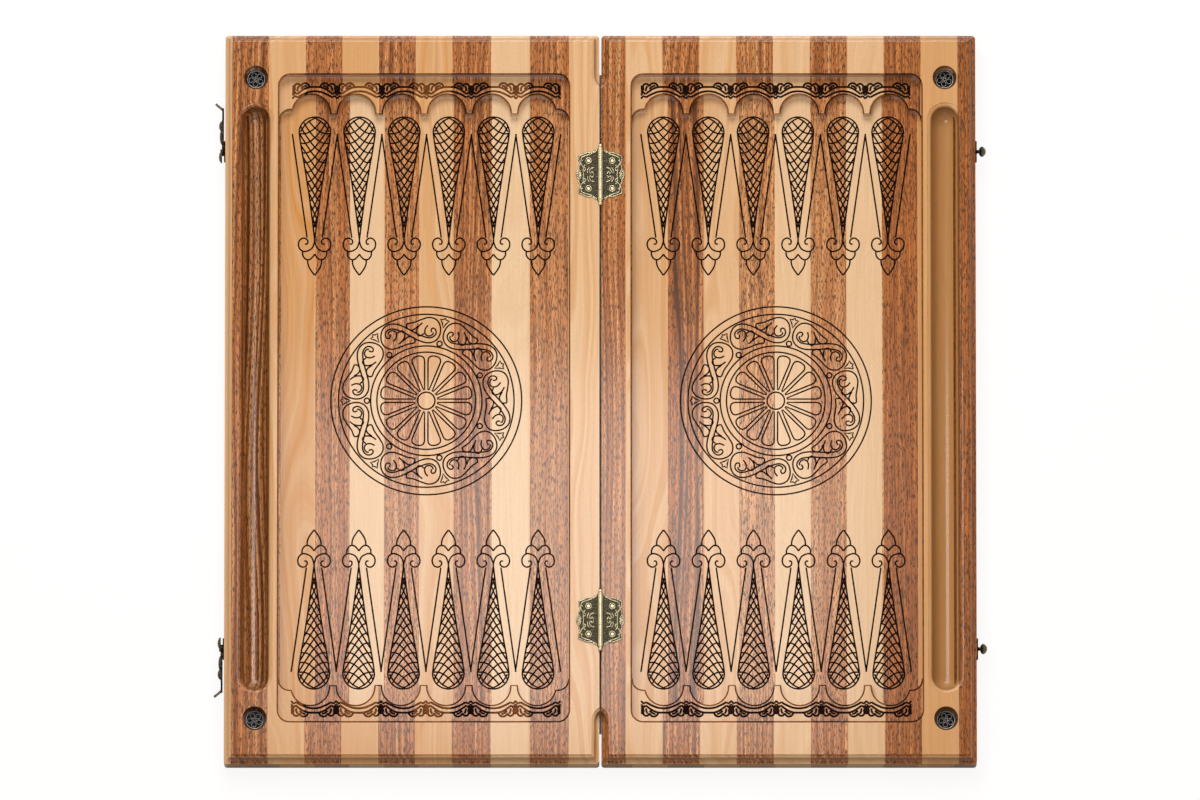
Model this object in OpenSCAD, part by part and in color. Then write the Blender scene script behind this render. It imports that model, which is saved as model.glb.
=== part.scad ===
// Folding backgammon board with carved fields, seen open and lying flat.
// Origin: middle of the seam between the halves, on the surface it rests on.
// X runs across the two halves, Y along the seam, Z up. Millimetres.

/* [Board] */
// Width of one half, from the middle of the seam to its outer side
half_w = 305; // [300:1:330]
// Length of the board along the seam
board_l = 600; // [590:1:640]
// Thickness of one half
board_t = 32; // [31:0.5:40]
// Gap between the halves when the board lies open
seam_gap = 1.6; // [1:0.1:2.4]
// Gap between the playing faces when the board is shut
closed_gap = 3; // [2.8:0.1:3.6]
// Radius of the upright corners
corner_r = 3; // [2:0.5:5]
// Rounding of the lower outer edges
foot_r = 3; // [1:0.5:5]

/* [Staves] */
// Thickness of the upper layer of staves
top_layer_t = 12; // [10:0.5:13]
// Width of the outermost stave, left upper layer
left_top_last = 5.8; // [5:0.1:6.2]
// Width of the stave beside the outermost one, left upper layer
left_top_next = 29.8; // [29.2:0.1:32]
// How much wider the three inner staves are, left upper layer
left_top_extra = 1.8; // [0:0.1:3]
// Distance from the seam to the first glue line, right upper layer
right_top_first = 20.4; // [18:0.1:23]
// Width of the outermost stave, right upper layer
right_top_last = 14.6; // [12:0.1:18]
// Width of the stave beside the outermost one, right upper layer
right_top_next = 30; // [28:0.1:32]
// Distance from the seam to the first glue line, left lower layer
left_base_first = 26.2; // [22:0.1:30]
// Width of the outermost stave, left lower layer
left_base_last = 45.3; // [44:0.1:50]
// Width of the stave beside the outermost one, left lower layer
left_base_next = 28.1; // [26:0.1:30]
// How much wider the three inner staves are, left lower layer
left_base_extra = 2.9; // [0:0.1:4]
// Distance from the seam to the first glue line, right lower layer
right_base_first = 25.8; // [22:0.1:30]
// Width of the outermost stave, right lower layer
right_base_last = 18.2; // [16:0.1:20]
// Width of the stave beside the outermost one, right lower layer
right_base_next = 29; // [27:0.1:31]

/* [Playing field] */
// Width of the rail beside the seam, from the middle of the seam
seam_rail = 25.6; // [24:0.1:30]
// Width of the rails at the ends of the board
end_rail = 33.7; // [30:0.1:45]
// Width of the wall between a field and its trough
field_wall = 4.6; // [3.5:0.1:7]
// Radius of the field's corners
field_corner_r = 9; // [6:0.5:12]
// Depth of the ornament band below the rim
band_depth = 9.5; // [8:0.1:9.8]
// Depth of the playing floor below the rim
floor_depth = 17; // [15:0.5:19]

/* [Arches] */
// Number of arches at each end of a field, one for each point
arch_count = 6; // [4:1:6]
// Width of a pier between two arches
pier_w = 6.5; // [5:0.1:9]
// Distance from an outermost arch to the wall of the field
flank_w = 10.85; // [9.5:0.05:14]
// Distance from the rim to the top of an arch
arch_margin = 14.8; // [13:0.1:22]
// How far the piers' ends lie below the centres of the arches
pier_drop = 1.4; // [0.5:0.1:6]
// How far the flanks rise above the centres of the arches
flank_rise = 2.6; // [1:0.1:6]

/* [Chip trough] */
// Width of the rail outside a trough
outer_rail = 10.6; // [8:0.1:14]
// Distance from the end of the board to a trough
trough_end = 56.7; // [54:0.1:90]
// Width of a trough at the playing face
trough_w = 28.8; // [27:0.1:29]
// Depth of a trough
trough_depth = 16.6; // [15.5:0.1:19]
// Radius of the rounded lip of a trough
lip_r = 3.5; // [2.5:0.1:4]
// Height of the small step above the lip
lip_step = 0.8; // [0.4:0.1:1.2]

/* [Corner wells] */
// Distance from the end of the board to the middle of a well
well_end = 36; // [30:0.5:40]
// Radius of a well
well_r = 9.8; // [9:0.1:9.9]
// Depth of a well
well_depth = 12; // [11.5:0.1:15]
// Radius of the plated disc in a well
disc_r = 7.9; // [7:0.1:8.6]
// Thickness of the disc
disc_t = 3.2; // [2:0.1:5]
// Bevel of the disc's rim
disc_bevel = 0.7; // [0.3:0.1:1.2]

/* [Edge moulding] */
// Step between the playing face and the moulding
ogee_step = 1; // [0.5:0.1:1.5]
// Radius of the convex part
ogee_convex_r = 2.6; // [2:0.1:3]
// Height of the straight part between the curves
ogee_straight = 1.5; // [0.5:0.1:1.8]
// Radius of the hollow part
ogee_hollow_r = 3.4; // [2.6:0.1:3.6]
// Flat ledge at the foot of the moulding
ogee_ledge = 0.3; // [0.1:0.1:0.6]
// Length of the straight run along the seam, from each corner
seam_run = 34; // [25:1:45]
// Radius of the guide bearing, which shapes the end of that run
bearing_r = 6.4; // [5:0.1:8]

/* [Hinges] */
// Distance from the end of the board to the middle of a hinge
hinge_end = 116.5; // [80:0.5:160]
// Thickness of a leaf
leaf_t = 0.8; // [0.6:0.1:1]
// Reach of a leaf from the pin, without its shell
leaf_w = 18; // [17:0.1:19]
// Height of a leaf beside the barrel
leaf_inner_h = 46; // [44:0.5:48]
// Height of a leaf at its outer side
leaf_outer_h = 31; // [29:0.5:33]
// Radius of the shell at the outer side
shell_r = 5.2; // [4:0.1:6]
// How far the shell stands out
shell_bulge = 1.8; // [1:0.1:3]
// Radius of the hollow shoulders
shoulder_r = 6; // [4:0.1:8]
// Distance from the pin to the middle of a shoulder
shoulder_x = 7.6; // [7:0.1:9]
// Depth of a shoulder
shoulder_dip = 4.6; // [3:0.1:5]
// Radius of the notches beside the shell
notch_r = 3.2; // [2:0.1:4]
// Depth of the notches
notch_dip = 1; // [0.5:0.1:1.5]
// Distance from a leaf's corner to a notch
notch_end = 6.4; // [6:0.1:7]
// Radius of the barrel
barrel_r = 2; // [1.8:0.05:2.2]
// Length of the barrel
barrel_l = 42; // [38:0.5:44]
// Number of knuckles
knuckle_count = 5; // [3:2:7]
// Radius of the hinge pin
pin_r = 1; // [0.8:0.05:1.1]
// Radial running clearance of the hinge pin
pin_play = 0.05; // [0.03:0.01:0.08]
// Length of the pin's finials
finial_l = 4.4; // [3.5:0.1:5.5]
// Thickness of the disc at the root of a finial
finial_disc_h = 0.8; // [0.5:0.1:1.2]
// Radius of a finial's neck
finial_neck_r = 1.2; // [1:0.05:1.4]
// Radius of a finial's ball
finial_ball_r = 1.6; // [1.3:0.05:1.8]
// Clearance between knuckles, and round the barrel
knuckle_gap = 0.25; // [0.2:0.05:0.3]
// Distance from the pin to the hinge nails
hinge_nail_x = 9.6; // [9:0.1:11]
// Half the distance between the two nails of a leaf
hinge_nail_y = 11.5; // [10:0.1:12]
// Radius of a nail's shank
nail_r = 0.6; // [0.5:0.05:0.7]
// Length of a hinge nail in the wood
hinge_nail_l = 8; // [6:0.5:10]
// Radius of a hinge nail's head
nail_head_r = 1.5; // [1.2:0.05:1.7]
// Height of a hinge nail's head
nail_head_h = 0.4; // [0.3:0.05:0.5]
// Radial clearance of a nail in a metal plate and in the wood
nail_play = 0.05; // [0.03:0.01:0.1]

/* [Latches] */
// Distance from the end of the board to a latch
latch_end = 95; // [60:1:150]
// Distance of a latch below the playing face
latch_drop = 13.5; // [13.3:0.1:15]
// How far the hook's tab and the catch's knob stand out
latch_reach = 8.5; // [8:0.1:10]
// Thickness of the latch plates
plate_t = 1; // [0.8:0.1:1.1]
// Radius of a latch plate
plate_r = 4.6; // [4.4:0.1:4.7]
// Radius of a latch plate's nail lobes
lobe_r = 2.5; // [2.2:0.1:2.8]
// Distance from a plate's middle to its nails
lobe_x = 6.4; // [6:0.1:7]
// Length of a latch nail, with its flush head
latch_nail_l = 5; // [4:0.1:5.4]
// Radius of a latch nail's head
latch_head_r = 1.2; // [1:0.05:1.4]
// Depth of a latch nail's head in the plate
latch_head_h = 0.5; // [0.3:0.05:0.6]
// Thickness of the hook
hook_t = 1.5; // [1.2:0.1:1.6]
// Gap between the plate and the hook
hook_lift = 0.2; // [0.15:0.05:0.3]
// Width of the hook's bar
hook_w = 4; // [3.4:0.1:4.4]
// Radius of the hook's eye
eye_r = 3.6; // [3.2:0.1:4]
// Radius of the boss halfway along the hook
boss_r = 3; // [2.4:0.1:3.4]
// Radius of the claw round the post
claw_r = 4.7; // [4.6:0.1:5]
// Clearance between the claw and the post
claw_gap = 0.5; // [0.45:0.05:0.6]
// Width of the finger tab
tab_w = 4; // [3:0.1:4.6]
// Length of the flat root of the tab
tab_root = 1; // [0.5:0.1:2]
// Angle at which the tab bends away from the side
tab_angle = 50; // [40:1:60]
// Radius of the rivet
rivet_r = 1.2; // [1:0.05:1.4]
// Radius of the rivet's head
rivet_head_r = 2.4; // [2:0.1:2.8]
// Height of the rivet's head
rivet_head_h = 1.2; // [0.8:0.1:1.4]
// Radius of the catch's post
post_r = 1.5; // [1.3:0.05:1.6]
// Radius of the catch's knob
knob_r = 4.4; // [3.8:0.1:4.6]
// Radius of the knob's underside
knob_neck_r = 2.7; // [2:0.1:3.2]
// Height of the knob's flared underside
knob_flare_h = 1.9; // [1:0.1:2.4]

/* [Hidden] */
$fn = 64;
WALNUT = "#8a5a3a";
BEECH = "#deb083";
BRONZE = "#8d7f5c";
NICKEL = "#8f9294";
// Overlap of a cutter past the face it leaves through
past = 1;
WIDE_STAVES = 3;
// Each glued panel: first glue line, outermost stave, the one beside it, extra of the wide staves,
// number of staves. The last two keep their place under the trough, and the rest share the width.
// The upper left one starts with a stave as wide as the rail beside the seam.
LEFT_TOP = [seam_rail, left_top_last, left_top_next, left_top_extra, 11];
RIGHT_TOP = [right_top_first, right_top_last, right_top_next, 0, 11];
LEFT_BASE = [left_base_first, left_base_last, left_base_next, left_base_extra, 10];
RIGHT_BASE = [right_base_first, right_base_last, right_base_next, 0, 11];
trough_half = trough_w / 2;
trough_l = board_l - 2 * trough_end;
trough_x = half_w - outer_rail - trough_half;
field_w = trough_x - trough_half - field_wall - seam_rail;
field_l = board_l - 2 * end_rail;
field_mid = seam_rail + field_w / 2;
arch_r = (field_w - 2 * flank_w - (arch_count - 1) * pier_w) / (2 * arch_count);
arch_pitch = 2 * arch_r + pier_w;
arch_y = field_l / 2 - arch_margin - arch_r;
pier_y = arch_y - pier_drop;
flank_y = arch_y + flank_rise;
well_y = board_l / 2 - well_end;
hinge_y = board_l / 2 - hinge_end;
latch_y = board_l / 2 - latch_end;
joint_z = board_t - top_layer_t;
band_z = board_t - band_depth;
floor_z = board_t - floor_depth;
well_z = board_t - well_depth;
axis_z = board_t + closed_gap / 2;
latch_z = board_t - latch_drop;
// Shut, the hook's rivet stands this far above the catch's post
latch_span = 2 * (latch_drop + closed_gap / 2);
ogee_w = ogee_ledge + ogee_hollow_r + ogee_convex_r;
ogee_turn = ogee_step + ogee_convex_r + ogee_straight;
ogee_h = ogee_turn + ogee_hollow_r;
channel_r = trough_half - lip_r;
trough_turn_y = trough_l / 2 - trough_half;
knuckle_pitch = barrel_l / knuckle_count;
hook_z = plate_t + hook_lift;
knob_z = hook_z + hook_t + 2 * hook_lift;

// Width of a panel's ordinary staves
function stave_w(panel) =
    (half_w - panel[0] - panel[1] - panel[2] - WIDE_STAVES * panel[3]) / (panel[4] - 3);

// Distance from the seam's middle to glue line i of a panel, 0 at the seam side
function glue_line(panel, i) =
    i == 0 ? seam_gap / 2 :
    i == panel[4] ? half_w :
    i == panel[4] - 1 ? half_w - panel[1] :
    i == panel[4] - 2 ? half_w - panel[1] - panel[2] :
    panel[0] + (i - 1) * stave_w(panel) + min(i - 1, WIDE_STAVES) * panel[3];

// The left half is the mirror image of the right half's cuts
module on_left() {
    mirror([1, 0, 0]) children();
}

module at_both_ends() {
    children();
    mirror([0, 1, 0]) children();
}

module rounded_plan(w, l, r) {
    translate([-w / 2 + r, -l / 2]) square([w - 2 * r, l]);
    translate([-w / 2, -l / 2 + r]) square([w, l - 2 * r]);
    for (x = [-1, 1], y = [-1, 1])
        translate([x * (w / 2 - r), y * (l / 2 - r)]) circle(r);
}

// One glued layer of a half, between two heights
module layer(z_low, z_high) {
    width = half_w - seam_gap / 2;
    translate([half_w - width / 2, 0, z_low])
        linear_extrude(z_high - z_low) rounded_plan(width, board_l, corner_r);
}

// The moulding's cutter: x runs inwards from the side, y up from the playing face
module ogee_section() {
    translate([-past, -ogee_step]) square([ogee_w + past, ogee_step + past]);
    translate([-past, -ogee_turn]) square([ogee_w - ogee_convex_r + past, ogee_turn + past]);
    translate([-past, -ogee_h]) square([ogee_ledge + past, ogee_h + past]);
    translate([ogee_ledge, -ogee_turn]) circle(ogee_hollow_r);
    difference() {
        translate([ogee_w - ogee_convex_r, -ogee_step - ogee_convex_r]) square(ogee_convex_r);
        translate([ogee_w, -ogee_step - ogee_convex_r]) circle(ogee_convex_r);
    }
}

// The foot's cutter: x runs inwards from the side, y up from the resting face
module foot_section() {
    difference() {
        translate([-past, -past]) square(foot_r + past);
        translate([foot_r, foot_r]) circle(foot_r);
    }
}

// Runs a section along the outer side at height z
module along_side(z) {
    translate([half_w, -board_l / 2 - past, z])
        rotate([90, 0, 180]) linear_extrude(board_l + 2 * past) children();
}

// Runs a section along both ends at height z
module along_ends(z) {
    at_both_ends()
        translate([half_w + past, board_l / 2, z])
            rotate([90, 0, -90]) linear_extrude(half_w + 2 * past) children();
}

// The moulding's short runs on the seam side, which end in the sweep of the cutter
module seam_moulding() {
    at_both_ends() {
        translate([seam_gap / 2, board_l / 2 + past, board_t])
            rotate([90, 0, 0]) linear_extrude(seam_run + past) ogee_section();
        translate([seam_gap / 2 - bearing_r, board_l / 2 - seam_run, board_t])
            rotate_extrude() translate([bearing_r, 0]) ogee_section();
    }
}

module ornament_band() {
    translate([field_mid, 0, band_z])
        linear_extrude(band_depth + past) rounded_plan(field_w, field_l, field_corner_r);
}

// Plan of one arch, round at the top and open towards the playing floor
module arch_plan() {
    circle(arch_r);
    translate([-arch_r, -pier_drop - past]) square([2 * arch_r, pier_drop + past]);
}

// The deep part of a field, with its flanks and its arcade of arches at both ends
module playing_floor() {
    flank_plan_w = flank_w + arch_r;
    translate([field_mid, 0, floor_z]) linear_extrude(floor_depth + past) {
        rounded_plan(field_w, 2 * pier_y, field_corner_r);
        for (side = [-1, 1])
            translate([side * (field_w - flank_plan_w) / 2, 0])
                rounded_plan(flank_plan_w, 2 * flank_y, field_corner_r);
        at_both_ends() for (i = [0 : arch_count - 1])
            translate([(i - (arch_count - 1) / 2) * arch_pitch, arch_y]) arch_plan();
    }
}

// Half of the trough's cross-section, from its middle outwards and down
module trough_half_section() {
    translate([0, -lip_step]) square([trough_half, lip_step + past]);
    difference() {
        translate([0, -lip_step - lip_r]) square([trough_half, lip_r]);
        translate([trough_half, -lip_step - lip_r]) circle(lip_r);
    }
    translate([0, -trough_depth + channel_r]) square([channel_r, trough_depth - channel_r]);
    intersection() {
        translate([0, -trough_depth + channel_r]) circle(channel_r);
        translate([0, -trough_depth]) square([channel_r, channel_r]);
    }
}

module chip_trough() {
    translate([trough_x, 0, board_t]) {
        rotate([90, 0, 0]) linear_extrude(2 * trough_turn_y, center = true) {
            trough_half_section();
            mirror([1, 0]) trough_half_section();
        }
        at_both_ends() translate([0, trough_turn_y, 0]) rotate_extrude() trough_half_section();
    }
}

module corner_wells() {
    at_both_ends()
        translate([trough_x, well_y, well_z]) cylinder(h = well_depth + past, r = well_r);
}

// Room for the hinge barrels and the pilot holes of the hinge nails
module hinge_seats() {
    at_both_ends() {
        translate([0, hinge_y, axis_z]) rotate([90, 0, 0])
            cylinder(h = barrel_l + 2 * finial_l + 2 * past, r = barrel_r + knuckle_gap, center = true);
        for (y = [-1, 1])
            translate([hinge_nail_x, hinge_y + y * hinge_nail_y, board_t - hinge_nail_l])
                cylinder(h = hinge_nail_l + past, r = nail_r + nail_play);
    }
}

// Pilot holes of the latch nails in the outer side
module latch_holes() {
    at_both_ends() at_latch() for (x = [-1, 1])
        translate([x * lobe_x, 0, plate_t - latch_nail_l])
            cylinder(h = latch_nail_l, r = nail_r + nail_play);
}

// One stave of the upper layer, with every cut that reaches it
module top_stave(panel, i) {
    near = glue_line(panel, i);
    far = glue_line(panel, i + 1);
    difference() {
        intersection() {
            layer(joint_z, board_t);
            translate([near, -board_l / 2, joint_z]) cube([far - near, board_l, top_layer_t]);
        }
        along_ends(board_t) ogee_section();
        if (i == 0) {
            seam_moulding();
            hinge_seats();
        }
        if (far > half_w - ogee_w) along_side(board_t) ogee_section();
        if (far > field_mid - field_w / 2 && near < field_mid + field_w / 2) {
            ornament_band();
            playing_floor();
        }
        if (far > trough_x - trough_half) {
            chip_trough();
            corner_wells();
        }
    }
}

// One stave of the lower layer, with every cut that reaches it
module base_stave(panel, i) {
    near = glue_line(panel, i);
    far = glue_line(panel, i + 1);
    difference() {
        intersection() {
            layer(0, joint_z);
            translate([near, -board_l / 2, 0]) cube([far - near, board_l, joint_z]);
        }
        along_ends(0) foot_section();
        if (far > half_w - foot_r) {
            along_side(0) foot_section();
            latch_holes();
        }
        if (far > field_mid - field_w / 2 && near < field_mid + field_w / 2) playing_floor();
        if (far > trough_x - trough_half) {
            chip_trough();
            corner_wells();
        }
    }
}

// The staves of one wood in a lower layer, every second one
module base_staves(panel, first) {
    for (i = [first : 2 : panel[4] - 1]) base_stave(panel, i);
}

// Staves are numbered from the seam outwards
module left_stave(number) {
    color(number % 2 == 1 ? BEECH : WALNUT) on_left() top_stave(LEFT_TOP, number - 1);
}

module right_stave(number) {
    color(number % 2 == 1 ? WALNUT : BEECH) top_stave(RIGHT_TOP, number - 1);
}

// A plated disc on the floor of a well
module well_disc() {
    color(NICKEL) translate([trough_x, well_y, well_z]) {
        cylinder(h = disc_t - disc_bevel, r = disc_r);
        translate([0, 0, disc_t - disc_bevel])
            cylinder(h = disc_bevel, r1 = disc_r, r2 = disc_r - disc_bevel);
    }
}

// One leaf's plan: shouldered towards the barrel, with a shell at its outer side
module leaf_plan() {
    difference() {
        union() {
            polygon([
                [0, leaf_inner_h / 2], [leaf_w, leaf_outer_h / 2],
                [leaf_w, -leaf_outer_h / 2], [0, -leaf_inner_h / 2]
            ]);
            translate([leaf_w + shell_bulge - shell_r, 0]) circle(shell_r);
        }
        for (end = [-1, 1]) {
            translate([shoulder_x, end * (leaf_inner_h / 2 - shoulder_dip + shoulder_r)])
                circle(shoulder_r);
            translate([leaf_w - notch_dip + notch_r, end * (leaf_outer_h / 2 - notch_end)])
                circle(notch_r);
        }
    }
}

// A leaf lies on the playing face; first is 0 or 1, the end knuckle that it starts with
module hinge_leaf(first) {
    color(BRONZE) translate([0, hinge_y, board_t]) difference() {
        union() {
            difference() {
                linear_extrude(leaf_t) leaf_plan();
                translate([0, 0, closed_gap / 2]) rotate([90, 0, 0])
                    cylinder(h = leaf_inner_h + 2 * past, r = barrel_r + knuckle_gap, center = true);
            }
            for (k = [first : 2 : knuckle_count - 1]) {
                y = (k - (knuckle_count - 1) / 2) * knuckle_pitch;
                length = knuckle_pitch - knuckle_gap;
                translate([0, y, closed_gap / 2]) rotate([90, 0, 0])
                    cylinder(h = length, r = barrel_r, center = true);
                translate([0, y - length / 2, 0])
                    cube([barrel_r + 3 * knuckle_gap, length, leaf_t]);
            }
        }
        translate([0, 0, closed_gap / 2]) rotate([90, 0, 0])
            cylinder(h = barrel_l + 2 * past, r = pin_r + pin_play, center = true);
        for (y = [-1, 1])
            translate([hinge_nail_x, y * hinge_nail_y, -past])
                cylinder(h = leaf_t + 2 * past, r = nail_r + nail_play);
    }
}

// The hinge pin, with a turned finial at each end
module hinge_pin() {
    ball_z = finial_l - finial_ball_r;
    color(BRONZE) translate([0, hinge_y, axis_z]) rotate([90, 0, 0]) {
        cylinder(h = barrel_l + 2 * finial_disc_h, r = pin_r, center = true);
        for (end = [0, 1]) mirror([0, 0, end]) translate([0, 0, barrel_l / 2]) {
            cylinder(h = finial_disc_h, r = barrel_r);
            cylinder(h = ball_z, r = finial_neck_r);
            translate([0, 0, ball_z]) sphere(finial_ball_r);
        }
    }
}

// The four nails that hold one half's hinge leaves
module hinge_nails() {
    color(BRONZE) at_both_ends() for (y = [-1, 1])
        translate([hinge_nail_x, hinge_y + y * hinge_nail_y, board_t]) {
            translate([0, 0, -hinge_nail_l]) cylinder(h = hinge_nail_l + leaf_t, r = nail_r);
            translate([0, 0, leaf_t])
                cylinder(h = nail_head_h, r1 = nail_head_r, r2 = nail_head_r - nail_head_h);
        }
}

// A latch's own axes on the outer side: x along the board, y up, z away from the wood
module at_latch() {
    translate([half_w, latch_y, latch_z]) rotate([90, 0, 90]) children();
}

// The plate that carries a hook or a catch, nailed through its two lobes
module latch_plate(pivot_r) {
    difference() {
        linear_extrude(plate_t) {
            circle(plate_r);
            for (x = [-1, 1]) translate([x * lobe_x, 0]) circle(lobe_r);
        }
        translate([0, 0, -past]) cylinder(h = plate_t + 2 * past, r = pivot_r);
        for (x = [-1, 1]) translate([x * lobe_x, 0, 0]) {
            translate([0, 0, -past]) cylinder(h = plate_t + 2 * past, r = nail_r + nail_play);
            translate([0, 0, plate_t - latch_head_h])
                cylinder(h = latch_head_h + past, r = latch_head_r + nail_play);
        }
    }
}

// The two nails of each latch plate, their heads flush with it
module latch_nails() {
    color(BRONZE) at_both_ends() at_latch() for (x = [-1, 1]) translate([x * lobe_x, 0, 0]) {
        translate([0, 0, plate_t - latch_nail_l]) cylinder(h = latch_nail_l, r = nail_r);
        translate([0, 0, plate_t - latch_head_h]) cylinder(h = latch_head_h, r = latch_head_r);
    }
}

module hook_plate() {
    color(BRONZE) at_latch() latch_plate(rivet_r + pin_play);
}

module hook_rivet() {
    head_z = hook_z + hook_t + hook_lift;
    color(BRONZE) at_latch() {
        cylinder(h = head_z, r = rivet_r);
        translate([0, 0, head_z])
            cylinder(h = rivet_head_h, r1 = rivet_head_r, r2 = rivet_head_r - rivet_head_h / 2);
    }
}

// The hook's plan: eye, bar with a boss, and a claw that is open on the side it swings to
module hook_plan() {
    slot_r = post_r + claw_gap;
    difference() {
        union() {
            circle(eye_r);
            translate([0, -hook_w / 2]) square([latch_span, hook_w]);
            translate([latch_span / 2, 0]) circle(boss_r);
            translate([latch_span, 0]) circle(claw_r);
            translate([latch_span, -tab_w / 2]) square([claw_r + tab_root, tab_w]);
        }
        circle(rivet_r + pin_play);
        translate([latch_span, 0]) circle(slot_r);
        translate([latch_span - slot_r, 0]) square([2 * slot_r, claw_r + past]);
    }
}

module hook() {
    tab_l = (latch_reach - hook_z - hook_t * cos(tab_angle)) / sin(tab_angle);
    color(BRONZE) at_latch() {
        translate([0, 0, hook_z]) linear_extrude(hook_t) hook_plan();
        translate([latch_span + claw_r, 0, hook_z]) rotate([0, -tab_angle, 0]) {
            translate([0, -tab_w / 2, 0]) cube([tab_l - tab_w / 2, tab_w, hook_t]);
            translate([tab_l - tab_w / 2, 0, 0]) cylinder(h = hook_t, r = tab_w / 2);
        }
    }
}

module catch_plate() {
    color(BRONZE) at_latch() latch_plate(post_r + pin_play);
}

// The catch's post and its mushroom knob, turned in one piece
module catch_knob() {
    brim_z = knob_z + knob_flare_h;
    dome_h = latch_reach - brim_z;
    dome_r = (knob_r * knob_r + dome_h * dome_h) / (2 * dome_h);
    color(BRONZE) at_latch() rotate_extrude() {
        polygon([
            [0, 0], [post_r, 0], [post_r, knob_z], [knob_neck_r, knob_z],
            [knob_r, brim_z], [0, brim_z]
        ]);
        intersection() {
            translate([0, latch_reach - dome_r]) circle(dome_r);
            translate([0, brim_z]) square([knob_r, dome_h]);
        }
    }
}

left_stave(1);  // left_stave_1
left_stave(2);  // left_stave_2
left_stave(3);  // left_stave_3
left_stave(4);  // left_stave_4
left_stave(5);  // left_stave_5
left_stave(6);  // left_stave_6
left_stave(7);  // left_stave_7
left_stave(8);  // left_stave_8
left_stave(9);  // left_stave_9
left_stave(10);  // left_stave_10
left_stave(11);  // left_stave_11
right_stave(1);  // right_stave_1
right_stave(2);  // right_stave_2
right_stave(3);  // right_stave_3
right_stave(4);  // right_stave_4
right_stave(5);  // right_stave_5
right_stave(6);  // right_stave_6
right_stave(7);  // right_stave_7
right_stave(8);  // right_stave_8
right_stave(9);  // right_stave_9
right_stave(10);  // right_stave_10
right_stave(11);  // right_stave_11
color(WALNUT) on_left() base_staves(LEFT_BASE, 1);  // left_base_walnut
color(BEECH) on_left() base_staves(LEFT_BASE, 0);  // left_base_beech
color(WALNUT) base_staves(RIGHT_BASE, 0);  // right_base_walnut
color(BEECH) base_staves(RIGHT_BASE, 1);  // right_base_beech
on_left() well_disc();  // disc_left_far
on_left() mirror([0, 1, 0]) well_disc();  // disc_left_near
well_disc();  // disc_right_far
mirror([0, 1, 0]) well_disc();  // disc_right_near
on_left() hinge_leaf(0);  // hinge_leaf_left_far
on_left() mirror([0, 1, 0]) hinge_leaf(0);  // hinge_leaf_left_near
hinge_leaf(1);  // hinge_leaf_right_far
mirror([0, 1, 0]) hinge_leaf(1);  // hinge_leaf_right_near
hinge_pin();  // hinge_pin_far
mirror([0, 1, 0]) hinge_pin();  // hinge_pin_near
on_left() hinge_nails();  // hinge_nails_left
hinge_nails();  // hinge_nails_right
on_left() hook();  // hook_far
on_left() mirror([0, 1, 0]) hook();  // hook_near
on_left() hook_plate();  // hook_plate_far
on_left() mirror([0, 1, 0]) hook_plate();  // hook_plate_near
on_left() hook_rivet();  // hook_rivet_far
on_left() mirror([0, 1, 0]) hook_rivet();  // hook_rivet_near
on_left() latch_nails();  // hook_plate_nails
catch_plate();  // catch_plate_far
mirror([0, 1, 0]) catch_plate();  // catch_plate_near
catch_knob();  // catch_knob_far
mirror([0, 1, 0]) catch_knob();  // catch_knob_near
latch_nails();  // catch_plate_nails
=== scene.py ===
import math

import bpy
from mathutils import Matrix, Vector


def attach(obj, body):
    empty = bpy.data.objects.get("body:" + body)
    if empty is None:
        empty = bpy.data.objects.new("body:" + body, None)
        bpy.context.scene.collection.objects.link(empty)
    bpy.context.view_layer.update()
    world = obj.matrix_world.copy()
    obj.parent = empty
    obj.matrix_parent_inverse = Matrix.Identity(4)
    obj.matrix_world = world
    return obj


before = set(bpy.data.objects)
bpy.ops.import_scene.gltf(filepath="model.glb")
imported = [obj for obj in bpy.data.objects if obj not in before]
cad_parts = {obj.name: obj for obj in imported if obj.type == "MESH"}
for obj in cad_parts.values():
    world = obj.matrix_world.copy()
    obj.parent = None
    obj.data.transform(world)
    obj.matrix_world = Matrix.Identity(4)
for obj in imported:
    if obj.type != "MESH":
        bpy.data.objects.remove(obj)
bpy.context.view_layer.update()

bl_info = {
    "name": "Backgammon board",
    "version": (1, 0, 0),
    "blender": (4, 5, 0),
    "location": "View3D > Sidebar > Board",
    "description": "Wood, metal and burnt ornament for a folding backgammon board",
    "category": "Object",
}

MM = 0.001
HALVES = {"left": -1, "right": 1}
ENDS = {"far": 1, "near": -1}
SPECIES = ("walnut", "beech")
# Staves of the upper layer in each half
STAVE_COUNT = 11
BLACK, WHITE = (0, 0, 0), (1, 1, 1)
# Most of a noise's values lie between these
NOISE_LOW, NOISE_HIGH = 0.3, 0.7

# Places on the board in millimetres, as the part's own sizes give them: x from the seam, y along it from the
# board's middle and z up from the table
HALF_W = 305.0
FACE_Z, BAND_Z, FLOOR_Z = 32.0, 22.5, 15.0
FIELD_MID, FIELD_W, FIELD_L = 143.3, 235.4, 532.6
FIELD_CORNER_R = 9.0
ARCH_COUNT = 6
ARCH_PITCH = 36.7
ARCH_R = 15.1
ARCH_Y = 236.4
PIER_Y = 235.0
FLANK_Y = ARCH_Y + 2.6
TROUGH_X, TROUGH_HALF_W = 280.0, 15.0
WELL_X, WELL_Y, DISC_Z = TROUGH_X, 264.0, 23.2
HINGE_Y, LEAF_Z = 183.5, FACE_Z + 0.8
LATCH_X, LATCH_Y, LATCH_Z = HALF_W, 205.0, 18.5
PLATE_T, HOOK_GAP, HOOK_T = 1.0, 0.2, 1.5

# The burnt figures stand a little nearer to the seam than the arches do, in the left half most of all
FIGURE_MID = {"left": 141.4, "right": 142.5}
FIGURE_PITCH = {"left": 36.35, "right": 36.5}

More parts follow.
